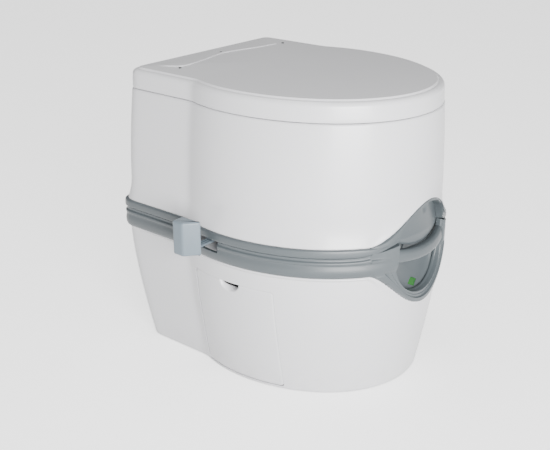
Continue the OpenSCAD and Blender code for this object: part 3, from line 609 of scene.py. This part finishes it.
def finish_of(slot):
    """The material of a slot, made when it is first asked for."""
    if not FINISH:
        tones = bpy.context.scene.toilet_finishes
        FINISH.update(
            shell_white=moulded("shell_white", tones.shell, 0.33, coat=0.25, low_patch_height=0.05),
            inner_white=moulded("inner_white", tones.inner, 0.30, coat=0.35),
            belt_grey=moulded("belt_grey", tones.belt, 0.40, grain=1300.0, depth=0.00004, coat=0.08,
                              peel=0.3),
            grip_blue_grey=moulded("grip_blue_grey", tones.grip, 0.38, grain=1300.0, depth=0.00004, peel=0.3),
            window_green=moulded("window_green", tones.window, 0.16, coat=0.6, depth=0.00001),
            dial_red=moulded("dial_red", (0.55, 0.03, 0.02), 0.35),
            valve_dark=moulded("valve_dark", (0.035, 0.037, 0.04), 0.42, grain=700.0),
            seal_rubber=moulded("seal_rubber", (0.015, 0.015, 0.016), 0.68, grain=500.0, depth=0.00006),
            spring_steel=moulded("spring_steel", (0.55, 0.55, 0.56), 0.3, grain=2000.0, metallic=1.0),
        )
    return FINISH[slot]


# ---------------------------------------------------------------- operators
class CAMPTOILET_OT_tank(bpy.types.Operator):
    """Waste tank shell: rings of the plan outline, with a bead under the belt and round the lobe"""
    bl_idname = "camptoilet.tank"
    bl_label = "Waste tank"

    def execute(self, context):
        size = context.scene.toilet_sizes
        foot = np.array([[0, 0.003], [0.0005, 0.0014], [0.0014, 0.0005], [0.003, 0]])
        upper = np.r_[np.linspace(0.006, 0.186, 44), np.linspace(0.188, BELT_Z0, 14),
                      BELT_Z0 + 0.0004, BELT_Z0 + 0.012, SPLIT_Z - 0.003]
        z = np.r_[foot[:, 0], upper]
        outer = rings(size, z, low_stand(z), np.r_[foot[:, 1], np.zeros(len(upper))])
        outer = push(outer, bead(outer) * (outer[..., 2] < BELT_Z0 + 0.0002))
        inner_z = np.array([SPLIT_Z - 0.003, BELT_Z0, 0.15, 0.1, 0.05, size.wall])
        inner = rings(size, inner_z, low_stand(inner_z), size.wall)
        piece("tank_shell_skin", patch(np.concatenate([outer, inner]), around=True, first=True, last=True),
              "waste_tank", ["tank_shell"], cutters=[door_cutter(), bay_cutter(), slot_cutter(), eye_cutter(
                  lobe_outer, lobe_inner, BELT_Z1)])
        return {"FINISHED"}


def bead(grid):
    """Height of the bead that the shell carries under the belt: a bell of the distance to the
    belt's edge or to the lobe's edge, lower at the rear."""
    x, y, z = np.moveaxis(grid, -1, 0)
    edge = np.stack(lobe_outer(np.linspace(-1 + CHEEK, 1 - CHEEK, 400)), -1)
    away = np.where(y < 0, distance_to(x, z, edge), 1)
    away = np.where(np.abs(x) > EYE_HALF, np.minimum(away, BELT_Z0 - z), away)
    away = np.where(y < 0, away, BELT_Z0 - z)
    amount = 0.0023 * (1 - 0.6 * ease((y - 0.15) / 0.05))
    return amount * np.exp(-((away - 0.0024) / 0.0019) ** 2)


def prism(corners, radius, start, end, axis):
    """A rounded polygon carried along an axis."""
    return turned(ring_loft(rounded(corners, radius), [(start, 0), (end, 0)]), axis)


def door_cutter():
    """Hole for the door, a seam wider than the door all round."""
    (_, y0, z0), (_, y1, z1) = DOOR_LOW - DOOR_SEAM, DOOR_HIGH + DOOR_SEAM
    return prism(rectangle(y0, z0, y1, z1), DOOR_CORNER, -0.22, -0.12, "x")


def bay_cutter():
    """Hole for the spout's bay in the rear wall."""
    (x0, _, z0), (x1, _, z1) = BAY_LOW - SEAM, BAY_HIGH + SEAM
    return prism([(z0, x0), (z0, x1), (z1, x1), (z1, x0)], 0.004, 0.18, 0.24, "y")


def slot_cutter():
    """Notch for the valve's grip and rod on the left side."""
    middle, half = (ROD_LOW[1] + ROD_HIGH[1]) / 2, (GRIP_HIGH[1] - GRIP_LOW[1]) / 2 + 0.001
    y0, y1 = middle - half, middle + half
    z0, z1 = SPLIT_Z - 0.0165, SPLIT_Z + 0.0025
    return prism(rectangle(y0, z0, y1, z1), 0.0015, -0.22, -0.15, "x")


def eye_cutter(outer, inner, close_z):
    """Hole behind a trim, half way between its two edges."""
    x, z = between(outer, inner, np.linspace(-1, 1, 81), 0.5)
    loop = np.r_[[(close_z, x[0])], np.c_[z, x], [(close_z, x[-1])]]
    return turned(ring_loft(loop, [(-0.26, 0), (-0.16, 0)]), "y")


class CAMPTOILET_OT_belts(bpy.types.Operator):
    """Two bands round the toilet: profiles of height and set-in carried along the plan outline"""
    bl_idname = "camptoilet.belts"
    bl_label = "Belts"

    def execute(self, context):
        size = context.scene.toilet_sizes
        self.band(size, "belt_lower", "waste_tank", LOW_BAND + [BELT_Z0, 0], LOW_TOP + TRIM_GAP,
                  lambda z: ease((z - BELT_Z0 - 0.014) / 0.0155), [slot_cutter()])
        self.band(size, "belt_upper", "seat_unit", UP_BAND + [SPLIT_Z, 0],
                  up_stand(size, BELT_Z1) - 0.0013 + TRIM_GAP,
                  lambda z: 1 - ease((z - SPLIT_Z) / UP_BAND_H), [])
        return {"FINISHED"}

    def band(self, size, node, body, table, back, share, cutters):
        """One band: its outer section, finely sampled and softened, and a flat back."""
        spot = np.linspace(0, len(table) - 1, (len(table) - 1) * 4 + 1)
        section = np.stack([np.interp(spot, np.arange(len(table)), table[:, i]) for i in (0, 1)], -1)
        section = blur(section[None], closed=False, times=3)[0]
        outer = rings(size, section[:, 0], np.tile(BELT_REACH, (len(section), 1)), section[:, 1],
                      EYE_HALF)
        inner = rings(size, section[[-1, 0], 0], np.tile(back, (2, 1)), 0.0, EYE_HALF)
        grid = np.concatenate([outer, inner])
        lift = (parting(grid[..., 0]) - SPLIT_Z) * (grid[..., 1] < 0)
        grid[..., 2] += lift * share(grid[..., 2])
        grid = np.swapaxes(grid, 0, 1)
        piece(node + "_band", patch(grid, around=True, first=True, last=True), body, [node],
              cutters=cutters, sharp=40)


class CAMPTOILET_OT_eye(bpy.types.Operator):
    """Hood, lobe, recess, dish, carry bar and level window at the front"""
    bl_idname = "camptoilet.eye"
    bl_label = "Front eye"

    def execute(self, context):
        size = context.scene.toilet_sizes
        self.trims(size)
        self.dish(size)
        self.bar(size)
        self.recess(size)
        return {"FINISHED"}

    def trims(self, size):
        """Two stepped rims: heights over the skin as sums of smooth steps across the share,
        which turn into the belts' own sections at their ends."""
        def steps(share):
            return (TRIM_GAP + (size.proud - TRIM_GAP) * ease(share / 0.12)
                    - (size.proud - 0.0026) * ease((share - 0.42) / 0.07)
                    - 0.0012 * ease((share - 0.66) / 0.06))

        def belt_like(z, table, base):
            reach = BELT_REACH[1] - np.interp(z - base, table[:, 0], table[:, 1])
            return reach - skin_stand(size, z)[..., 1]

        def hood(k, share, z):
            rise = parting(EYE_HALF) - SPLIT_Z
            ends = belt_like(z, UP_BAND, SPLIT_Z + rise * (1 - (z - SPLIT_Z) / UP_BAND_H))
            return mix(steps(share), ends, ease((np.abs(k) - 0.66) / 0.34))

        def lobe(k, share, z):
            belt = belt_like(z, LOW_BAND, BELT_Z0)
            cheek = mix(belt, size.proud - 0.0006, ease(share / 0.85))
            return mix(steps(share), cheek, ease((np.abs(k) - 1 + CHEEK + 0.05) / 0.1))

        for node, body, outer, inner, height in (
                ("front_hood", "seat_unit", hood_outer, hood_inner, hood),
                ("lobe_rim", "waste_tank", lobe_outer, lobe_inner, lobe)):
            k = np.linspace(-1, 1, 241)[:, None]
            top = np.r_[np.linspace(0, 0.16, 10), np.linspace(0.2, 0.4, 4), np.linspace(0.42, 0.5, 7),
                        np.linspace(0.54, 0.65, 3), np.linspace(0.66, 0.73, 6), np.linspace(0.78, 0.88, 3),
                        np.linspace(0.9, 1, 9)][None]
            x, z = between(outer, inner, k, top)
            over = height(k, top, z) - 0.0075 * ease((top - 0.9) / 0.1)
            face = on_skin(size, x, z, over)
            under = np.array([[1, -9], [0.86, -9], [0.78, -4],
                              [0.74, 0.3], [0.4, 0.3], [0.02, 0.3]])[:, :, None]
            x, z = between(outer, inner, k, under[:, 0].T)
            back = on_skin(size, x, z, np.broadcast_to(under[:, 1].T / 1000, x.shape))
            piece(node + "_trim", patch(np.concatenate([face, back], 1), around=True, first=True, last=True),
                  body, [node], sharp=48)

    def dish(self, size):
        """Dish round the fingers: from the lobe's inner edge it sinks by the square root of the
        way in, to a depth that grows with height, and closes on the middle line."""
        k = np.linspace(-1, 1, 141)[:, None]
        way = np.linspace(0, 1, 44)[None]
        x, z, depth = self.dish_points(k, way)
        x[:, -1] = 0
        face = on_skin(size, x, z, -depth)
        back = face + [0, size.wall, 0]
        half_z = (high("level_window")[2] - low("level_window")[2]) / 2 - 0.0035
        half = half_z * 1.9
        middle_z = (low("level_window")[2] + high("level_window")[2]) / 2
        hole = [(middle_z - half_z, 0), (middle_z, half), (middle_z + half_z, 0), (middle_z, -half)]
        piece("grip_dish_bowl", slab(face, back), "waste_tank", ["grip_dish"],
              cutters=[prism(hole, 0.001, -0.23, -0.15, "y")], sharp=50)
        # Level window: a diamond that follows the dish, set just under its face
        a, b = np.meshgrid(np.linspace(-1, 1, 15), np.linspace(-1, 1, 15), indexing="ij")
        px, pz = (half - 0.0005) * (a - b) / 2, middle_z + (half_z - 0.0003) * (a + b) / 2
        column = len(k) // 2
        y = np.interp(pz, face[column, :, 2], face[column, :, 1]) + 0.0008
        crown = 0.0007 * (1 - a ** 2) * (1 - b ** 2)
        window = np.stack([px, y - crown, pz], -1)
        piece("level_window_lens", slab(window, window + [0, 0.006, 0]), "waste_tank",
              ["level_window"], sharp=40)

    def dish_points(self, k, way):
        """x, z and depth of the dish at a place along its edge and a way in."""
        v = way ** 2
        edge_x, edge_z = between(lobe_outer, lobe_inner, k, 0.88)
        x = edge_x * (1 - 0.94 * v)
        z = mix(edge_z, np.maximum(DISH_MID + 0.006, edge_z), 0.9 * v)
        floor = np.where(z > DISH_MID, DISH_DEPTH, mix(0.028, DISH_DEPTH, (z - BELT_Z0 + 0.049) / 0.06))
        return x, z, mix(0.0093, floor, way)

    def bar(self, size):
        """Carry bar: a rounded box section carried from cheek to cheek, lowest in the middle
        and taller at its ends."""
        x = np.linspace(-RECESS_HALF - 0.003, RECESS_HALF + 0.003, 61)[:, None]
        t = np.abs(x) / RECESS_HALF
        a = np.linspace(0, 2 * np.pi, 49)[None, :-1]
        round_cos = np.sign(np.cos(a)) * np.abs(np.cos(a)) ** 0.62
        round_sin = np.sign(np.sin(a)) * np.abs(np.sin(a)) ** 0.62
        middle = BAR_Z - BAR_BOW * (1 - t ** 2) + BAR_BOW
        half_h = BAR_HALF_H + 0.0012 * t ** 3
        z = middle + half_h * round_sin
        line = on_skin(size, x + 0 * a, middle + 0 * a, size.proud - 0.003 - BAR_HALF_T + 0 * a)
        grid = line.copy()
        grid[..., 1] += BAR_HALF_T * round_cos + 0.0015 * round_sin
        grid[..., 2] = z
        piece("carry_bar_grip", patch(grid, around=True, first=True, last=True), "waste_tank", ["carry_bar"],
              sharp=50)

    def recess(self, size):
        """Plate behind the hood, with a shallow round dimple."""
        half = RECESS_HALF + 0.004
        u = np.sin(np.linspace(-1, 1, 97)[:, None] * np.pi / 2 * 0.98)
        x = half * u
        top = EYE_Z + 0.002 + (RECESS_RISE + 0.003) * np.sqrt(1 - u ** 2)
        foot = EYE_Z + SEAM - PLATE_SAG * np.clip(1 - u ** 2, 0, 1)
        z = mix(foot, top, np.linspace(0, 1, 49)[None])
        x = np.broadcast_to(x, z.shape)
        from_dimple = np.hypot(x - DIMPLE_X, z - EYE_Z - DIMPLE_RISE)
        dimple = DIMPLE_DEEP * (1 - ease(from_dimple / DIMPLE_R))
        low_edge = 0.0015 * (1 - ease((z - foot) / 0.003))
        face = on_skin(size, x, z, -PLATE_DEEP - dimple - low_edge)
        back = on_skin(size, x, z, np.full(z.shape, -PLATE_BACK))
        piece("recess_plate_panel", slab(face, back), "seat_unit", ["recess_plate"], sharp=50)


class CAMPTOILET_OT_door(bpy.types.Operator):
    """Paper compartment's door: a curved plate with a scooped finger notch at its top edge"""
    bl_idname = "camptoilet.door"
    bl_label = "Paper door"

    notch_half = 0.0185
    notch_deep = 0.015

    def execute(self, context):
        size = context.scene.toilet_sizes
        u, v = np.meshgrid(np.linspace(-1, 1, 121), np.linspace(-1, 1, 121), indexing="ij")
        half_y, half_z = (DOOR_HIGH[1] - DOOR_LOW[1]) / 2, (DOOR_HIGH[2] - DOOR_LOW[2]) / 2
        mid_y, mid_z = (DOOR_HIGH[1] + DOOR_LOW[1]) / 2, (DOOR_HIGH[2] + DOOR_LOW[2]) / 2
        out_y = np.maximum(np.abs(u) * half_y - (half_y - DOOR_CORNER), 0)
        out_z = np.maximum(np.abs(v) * half_z - (half_z - DOOR_CORNER), 0)
        reach = np.hypot(out_y, out_z)
        pull = np.where(reach > 0, np.minimum(1, np.maximum(out_y, out_z) / np.maximum(reach, 1e-9)), 1)
        y = mid_y + np.sign(u) * (np.abs(u) * half_y - out_y * (1 - pull))
        z = mid_z + np.sign(v) * (np.abs(v) * half_z - out_z * (1 - pull))
        notch_y = mid_y - 0.0005
        dip = 0.0100 * np.sqrt(np.clip(1 - ((y - notch_y) / 0.0160) ** 2, 0, 1))
        z = mix(DOOR_LOW[2], DOOR_HIGH[2] - dip, (z - DOOR_LOW[2]) / (DOOR_HIGH[2] - DOOR_LOW[2]))
        far = np.hypot((y - notch_y) / self.notch_half, (DOOR_HIGH[2] - z) / self.notch_deep)
        scoop = 0.0004 + 0.0125 * ease((1 - far) / 0.55)
        edge = 0.0010 * (1 - ease((1 - np.maximum(np.abs(u), np.abs(v))) / 0.02))
        face = np.stack([side_x(size, y, z, scoop + edge), y, z], -1)
        back = np.stack([side_x(size, y, z, size.wall + scoop), y, z], -1)
        piece("roll_door_panel", slab(face, back), "compartment_door", ["roll_door"], sharp=40)
        return {"FINISHED"}


class CAMPTOILET_OT_flush_tank(bpy.types.Operator):
    """Flush tank shell: rings with a bulge, whose lip flares over the belt and along the hood"""
    bl_idname = "camptoilet.flush_tank"
    bl_label = "Flush tank"

    def execute(self, context):
        size = context.scene.toilet_sizes
        tuck = 0.0013
        belt_top = up_stand(size, BELT_Z1)
        z = np.r_[BELT_Z1 + np.r_[0.0002, 0.0005, 0.0012, 0.002], np.linspace(BELT_Z1 + 0.004, 0.30, 44),
                  np.linspace(0.305, TANK_TOP - 0.004, 30),
                  TANK_TOP - np.r_[0.0022, 0.0012, 0.0005, 0]]
        inset = np.r_[0.0012, 0.0006, 0.0001, np.zeros(len(z) - 7), 0.0001, 0.0005, 0.0012, 0.0022]
        outer = rings(size, z, up_stand(size, z), inset)
        outer = push(outer, self.hood_flare(size, outer))
        tucked = rings(size, [SPLIT_Z + 0.002, BELT_Z1], np.tile(belt_top, (2, 1)), tuck)
        inner_z = np.r_[TANK_TOP, 0.38, 0.34, 0.30, 0.26, BELT_Z1 + 0.001]
        inner = rings(size, inner_z, up_stand(size, inner_z), size.wall + 0.0002)
        lower = rings(size, [BELT_Z1, SPLIT_Z + 0.002], np.tile(belt_top, (2, 1)), tuck + size.wall)
        loops = np.concatenate([tucked, outer, inner, lower])
        piece("flush_shell_skin", patch(loops, around=True, along=True),
              "seat_unit", ["flush_shell"], cutters=[eye_cutter(hood_outer, hood_inner, SPLIT_Z - 0.01)])
        return {"FINISHED"}

    def hood_flare(self, size, grid):
        """Extra flare along the hood, so that the lip follows its edge as it follows the belt."""
        x, y, z = np.moveaxis(grid, -1, 0)
        edge = np.stack(hood_outer(np.linspace(-1, 1, 400)), -1)
        away = np.where(y < 0, distance_to(x, z, edge), z - BELT_Z1)
        away = np.where(np.abs(x) > EYE_HALF, np.minimum(away, z - BELT_Z1), away)
        narrow = (size.lip - size.bulge) * np.clip(1 - away / 0.024, 0, 1) ** 2.4
        extra = narrow - flare(size, z - BELT_Z1)
        return np.maximum(extra, 0) * 0.62 * ease((0.02 - y) / 0.06)


class CAMPTOILET_OT_lid(bpy.types.Operator):
    """Lid: rings drawn inwards from a nearly upright skirt to a shallow dome, with a raised rear
    field, hinge lugs and small dark domed dots"""
    bl_idname = "camptoilet.lid"
    bl_label = "Lid"

    def execute(self, context):
        size = context.scene.toilet_sizes
        z0 = LID_Z - 0.0005
        height = LID_TOP - size.dome - z0
        turn = np.linspace(0, np.pi / 2, 12)[1:]
        corner_r = 0.0085
        skirt = np.array([[0, 0.0016], [0.0004, 0.0010], [0.0012, 0.0007], [0.006, 0.0009], [0.012, 0.0011],
                          [height - corner_r, 0.0016]])
        bend = np.c_[height - corner_r + corner_r * 0.82 * np.sin(turn),
                     0.0016 + corner_r * (1 - np.cos(turn))]
        edge = np.r_[skirt, bend]
        inset = np.r_[edge[:, 1], np.linspace(0.0125, 0.157, 40)]
        rise = np.r_[z0 + edge[:, 0], self.dome(size, inset[len(edge):])]
        flat = np.zeros((len(inset), 3))
        outer = rings(size, rise, flat, inset)
        under = np.array([0.145, 0.095, 0.05, 0.02, 0.0095])
        roof = np.r_[self.dome(size, under[:-1]) - 0.004, z0 + height - 0.008]
        inner = rings(size, np.r_[roof, z0 + 0.001, z0], np.zeros((7, 3)), np.r_[under, 0.0045, 0.004])
        shell = patch(np.concatenate([inner, outer]), around=True, first=True, last=True)
        lugs = []
        for side in (-1, 1):
            lugs += self.lug(side)
        piece("lid_cover", joined(shell, self.rear_field(size), *lugs), "lid", ["lid"],
              sharp=38)
        # Small domed dots on the dome, given the dark valve finish
        dark_dots = [self.dark_dot(size, x, y) for x, y in DOT_PLACES]
        piece("lid_dark_dots", joined(*dark_dots), "lid", slot="valve_dark", sharp=40)
        return {"FINISHED"}

    def dome(self, size, inset):
        """Height of the dome at a set-in from the edge: it flattens by the square of the way in."""
        return LID_TOP - size.dome * np.clip(1 - inset / 0.160, 0, 1) ** 2

    def line_y(self, x):
        """Line of the rear field's step: a cusp in the middle, a bow to each side, and a steep
        climb to the rear corners."""
        reach = np.abs(x)
        bow, climb = ease(reach / 0.1) ** 0.8, np.clip((reach - 0.104) / 0.026, 0, 1.2) ** 2
        return 0.162 - 0.019 * bow + 0.045 * climb

    def rear_field(self, size):
        """Raised field behind the line: it follows the dome, stands over it at the line and
        fades into it at the rear."""
        x = np.linspace(-0.131, 0.131, 261)[:, None]
        v = np.r_[0, 0.01, 0.025, 0.05, np.linspace(0.1, 1, 20)][None]
        y = mix(self.line_y(x), size.rear_y - 0.0135, v)
        y = np.maximum(y, self.line_y(x))
        x = np.broadcast_to(x, y.shape)
        inset = np.minimum(size.rear_y - y, size.block_half - np.abs(x))
        step = np.interp(v, [0, 0.01, 0.025, 0.05, 0.5, 1], [-0.4, 0.55, 0.9, 1.0, 0.6, -0.4]) / 1000
        ends = 1 - ease((np.abs(x) - 0.118) / 0.012)
        z = self.dome(size, inset) + mix(-0.0004, step, ends)
        top = np.stack([x, y, z], -1)
        return slab(top, top - [0, 0, 0.0012])

    def lug(self, side):
        """Hinge lug: a knuckle round the pin and a block up to the lid's roof."""
        pin = (low("lid_pins") + high("lid_pins")) / 2
        middle = side * LID_LUG_X
        x0, x1 = middle - LID_LUG_HALF, middle + LID_LUG_HALF
        disc = circle(pin[1], pin[2], LID_LUG_R, 32)
        knuckle = turned(ring_loft(disc, soft_levels(x0, x1, 0.0004)), "x")
        y0, y1, z0, z1 = pin[1] - LID_LUG_R, pin[1] + 0.0015, pin[2], LID_TOP - 0.0085
        block_side = rounded(rectangle(y0, z0, y1, z1), 0.0008)
        block = turned(ring_loft(block_side, [(x0, 0), (x1, 0)]), "x")
        return [knuckle, block]

    def dark_dot(self, size, x, y):
        """Small domed dot on the dome."""
        inset = min(size.rear_y - y, size.block_half - abs(x))
        z = float(self.dome(size, np.array(inset)))
        return ring_loft(circle(x, y, DOT_R, 24), [(z - 0.001, 0), (z + 0.0011, 0), (z + 0.0014, 0.0004)])


class CAMPTOILET_OT_seat(bpy.types.Operator):
    """Seat ring: a rounded section carried round an oval, with two hinge arms"""
    bl_idname = "camptoilet.seat"
    bl_label = "Seat"

    def execute(self, context):
        seat_low, seat_high = low("seat"), high("seat")
        pins_low, pins_high = low("seat_pins"), high("seat_pins")
        bowl_low, bowl_high = low("bowl"), high("bowl")
        middle = (bowl_low[1] + bowl_high[1]) / 2
        half, long = seat_high[0], middle - seat_low[1]
        hole, hole_long = bowl_high[0] - 0.014, (bowl_high[1] - bowl_low[1]) / 2 - 0.014
        a = np.linspace(0, 2 * np.pi, 193)[:-1, None]
        b = np.linspace(0, 2 * np.pi, 49)[None, :-1]
        across = 0.5 - 0.5 * np.sign(np.cos(b)) * np.abs(np.cos(b)) ** 0.7
        rise = 0.5 + 0.5 * np.sign(np.sin(b)) * np.abs(np.sin(b)) ** 0.6
        rise = rise * (1 - 0.12 * across)
        x = mix(half, hole, across) * np.cos(a)
        y = middle + mix(long, hole_long, across) * np.sin(a)
        z = mix(seat_low[2], seat_high[2], rise)
        ring = patch(np.stack([x, y, z + 0 * a], -1), around=True, along=True)
        pin = (pins_low + pins_high) / 2
        arms = []
        for side in (-1, 1):
            arm_x = side * SEAT_LUG_X
            x0, x1 = arm_x - SEAT_LUG_HALF, arm_x + SEAT_LUG_HALF
            disc = circle(pin[1], pin[2], SEAT_LUG_R, 32)
            arms.append(turned(ring_loft(disc, soft_levels(x0, x1, 0.0008)), "x"))
            plan = rounded(rectangle(x0, pin[1] - SEAT_LUG_REACH, x1, pin[1]), 0.002)
            arms.append(ring_loft(plan, soft_levels(seat_low[2] + 0.001, seat_low[2] + 0.009, 0.001)))
        piece("seat_ring", joined(ring, *arms), "seat", ["seat"], sharp=40)
        return {"FINISHED"}


class CAMPTOILET_OT_bowl(bpy.types.Operator):
    """Bowl: ovals that draw in and back from the mouth to a round outlet"""
    bl_idname = "camptoilet.bowl"
    bl_label = "Bowl"

    def execute(self, context):
        bowl_low, bowl_high = low("bowl"), high("bowl")
        seal_low, seal_high = low("lip_seal"), high("lip_seal")
        deck = bowl_high[2] - 0.0015
        mouth_y = (bowl_low[1] + bowl_high[1]) / 2
        half, long = bowl_high[0] - BOWL_RIM, (bowl_high[1] - bowl_low[1]) / 2 - BOWL_RIM
        outlet_y, outlet_r = (seal_low[1] + seal_high[1]) / 2, (seal_high[0] - seal_low[0]) / 2 - 0.006
        neck = outlet_r + BOWL_WALL
        v = np.linspace(0, 1, 56)
        shrink = v ** 1.9
        drawn = np.stack([mix(half - 0.001, neck, shrink), mix(long - 0.001, neck, shrink),
                          mix(mouth_y, outlet_y, v ** 1.3), mix(deck - 0.006, SPLIT_Z + 0.014, v)], -1)
        rim = [(half + out, long + out, mouth_y, deck + rise)
               for out, rise in ((0.0076, 0), (BOWL_RIM, 0.0007), (0.0074, 0.0014),
                                 (-0.0012, 0.0015), (-0.003, 0.0004))]
        inner = drawn - [BOWL_WALL, BOWL_WALL, 0, 0]
        foot = [(outlet_r, outlet_r, outlet_y, SPLIT_Z + 0.004), (neck, neck, outlet_y, SPLIT_Z + 0.004)]
        table = np.r_[rim, inner, foot, drawn[::-1], [(half - SEAM, long - SEAM, mouth_y, deck)]]
        angle = np.linspace(0, 2 * np.pi, 129)[None, :-1]
        grid = np.stack([table[:, :1] * np.cos(angle), table[:, 2:3] + table[:, 1:2] * np.sin(angle),
                         table[:, 3:] + 0 * angle], -1)
        piece("bowl_basin", patch(grid, around=True, along=True), "seat_unit", ["bowl"], sharp=45)
        return {"FINISHED"}


class CAMPTOILET_OT_valve(bpy.types.Operator):
    """Valve grip with its slanted thumb face, and the ribbed rod"""
    bl_idname = "camptoilet.valve"
    bl_label = "Valve grip"

    def execute(self, context):
        (x0, y0, z0), (x1, y1, z1) = GRIP_LOW, GRIP_HIGH
        body_x = x1 - 0.0105
        slant = (body_x - x0) * 0.8
        front_y = y0 + 0.012
        plan = rounded([(body_x, front_y), (body_x, y1), (x0, y1), (x0, front_y + slant)],
                       0.0032, 10)
        block = ring_loft(plan, soft_levels(z0 + 0.003, z1, 0.0028, 8))
        piece("valve_grip_handle", block, "valve", ["valve_grip"], sharp=50)
        # Rod: a flat bar with two ribs on each face, carried along x
        half_w, half_t = (ROD_HIGH[1] - ROD_LOW[1]) / 2, (ROD_HIGH[2] - ROD_LOW[2]) / 2
        across = np.linspace(-1, 1, 41)
        rib = 0.55 + 0.45 * ease(np.cos(across * np.pi * 3) * 1.6 - 0.1)
        upper = np.c_[across * half_w, half_t * rib]
        lower = np.c_[across[::-1] * half_w, -half_t * rib[::-1]]
        middle_y, middle_z = (ROD_HIGH[1] + ROD_LOW[1]) / 2, (ROD_HIGH[2] + ROD_LOW[2]) / 2
        loop = np.r_[upper, lower] + [middle_y, middle_z]
        rod = turned(ring_loft(loop[::-1], [(body_x - 0.004, 0), (ROD_HIGH[0], 0)]), "x")
        piece("valve_rod_bar", rod, "valve", ["valve_rod"], sharp=30)
        return {"FINISHED"}


class CAMPTOILET_OT_fittings(bpy.types.Operator):
    """Finishes of the pins, springs, valve, pump, caps and liners that stay as the frame has them"""
    bl_idname = "camptoilet.fittings"
    bl_label = "Fittings"

    def execute(self, context):
        for name, node in frame["nodes"].items():
            if node.hide_render:
                continue
            if not node.material_slots:
                node.data.materials.append(None)
            for holder in node.material_slots:
                holder.material = finish_of(SLOT_OF[name])
        return {"FINISHED"}


class CAMPTOILET_OT_stage(bpy.types.Operator):
    """Pale floor, soft lights and the camera"""
    bl_idname = "camptoilet.stage"
    bl_label = "Stage"

    def execute(self, context):
        self.floor()
        for name, place, aim, size, power in LIGHTS:
            light = bpy.data.objects.new(name, bpy.data.lights.new(name, "AREA"))
            light.data.size, light.data.energy = size, power
            light.matrix_world = self.aimed(place, aim)
            context.scene.collection.objects.link(light)
        world = bpy.data.worlds.new("studio")
        world.use_nodes = True
        sky = world.node_tree.nodes["Background"]
        sky.inputs["Color"].default_value = (1.0, 1.0, 1.0, 1)
        sky.inputs["Strength"].default_value = WORLD_STRENGTH
        context.scene.world = world
        self.camera(context)
        return {"FINISHED"}

    def aimed(self, place, target):
        """Matrix of an object at a place that looks at a target along its own -Z."""
        turn = (Vector(target) - Vector(place)).to_track_quat("-Z", "Y")
        return Matrix.Translation(place) @ turn.to_matrix().to_4x4()

    def floor(self):
        """Wide pale floor, level to far behind the toilet."""
        side = np.linspace(-FLOOR_HALF, FLOOR_HALF, 13)
        x, y = np.meshgrid(side, side, indexing="ij")
        points, faces = patch(np.stack([x, y, 0 * x - 0.0002], -1))
        mesh = bpy.data.meshes.new("floor")
        mesh.from_pydata(points.tolist(), [], faces)
        floor = bpy.data.objects.new("floor", mesh)
        bpy.context.scene.collection.objects.link(floor)
        pale = moulded("floor_pale", (0.93, 0.93, 0.93), 0.75, grain=40.0, depth=0.00001)
        glow = pale.node_tree.nodes["Principled BSDF"].inputs
        glow["Emission Color"].default_value = (1, 1, 1, 1)
        glow["Emission Strength"].default_value = FLOOR_GLOW
        mesh.materials.append(pale)
        floor.visible_diffuse = False

    def camera(self, context):
        """Camera at a distance, an azimuth and an elevation from its target."""
        view = context.scene.toilet_view
        back = np.array([math.sin(view.azimuth) * math.cos(view.elevation),
                         -math.cos(view.azimuth) * math.cos(view.elevation), math.sin(view.elevation)])
        target = np.array(view.target)
        camera = bpy.data.objects.new("camera", bpy.data.cameras.new("camera"))
        camera.data.lens, camera.data.sensor_width = view.lens, 36
        camera.data.clip_start, camera.data.clip_end = 0.05, 50
        camera.matrix_world = self.aimed(target + back * view.distance, target)
        context.scene.collection.objects.link(camera)
        context.scene.camera = camera


STEPS = (CAMPTOILET_OT_stage, CAMPTOILET_OT_tank, CAMPTOILET_OT_belts, CAMPTOILET_OT_eye, CAMPTOILET_OT_door,
         CAMPTOILET_OT_flush_tank, CAMPTOILET_OT_lid, CAMPTOILET_OT_seat, CAMPTOILET_OT_bowl,
         CAMPTOILET_OT_valve, CAMPTOILET_OT_fittings)


class CAMPTOILET_PT_panel(bpy.types.Panel):
    """Sizes, finishes and steps of the camp toilet."""
    bl_idname = "CAMPTOILET_PT_panel"
    bl_label = "Camp Toilet"
    bl_space_type = "VIEW_3D"
    bl_region_type = "UI"
    bl_category = "Camp Toilet"

    def draw(self, context):
        for group in (context.scene.toilet_sizes, context.scene.toilet_finishes, context.scene.toilet_view):
            box = self.layout.box()
            for name in group.__annotations__:
                box.prop(group, name)
        for step in STEPS:
            self.layout.operator(step.bl_idname)


CLASSES = (BodySizes, Finishes, StudioView, *STEPS, CAMPTOILET_PT_panel)


def register():
    """Adds the classes and the settings that hang on the scene."""
    for item in CLASSES:
        bpy.utils.register_class(item)
    bpy.types.Scene.toilet_sizes = bpy.props.PointerProperty(type=BodySizes)
    bpy.types.Scene.toilet_finishes = bpy.props.PointerProperty(type=Finishes)
    bpy.types.Scene.toilet_view = bpy.props.PointerProperty(type=StudioView)


def unregister():
    """Takes the settings and the classes away again."""
    del bpy.types.Scene.toilet_sizes, bpy.types.Scene.toilet_finishes, bpy.types.Scene.toilet_view
    for item in reversed(CLASSES):
        bpy.utils.unregister_class(item)


def main():
    """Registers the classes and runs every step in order."""
    register()
    for step in STEPS:
        group, name = step.bl_idname.split(".")
        getattr(getattr(bpy.ops, group), name)()


if __name__ == "__main__":
    main()
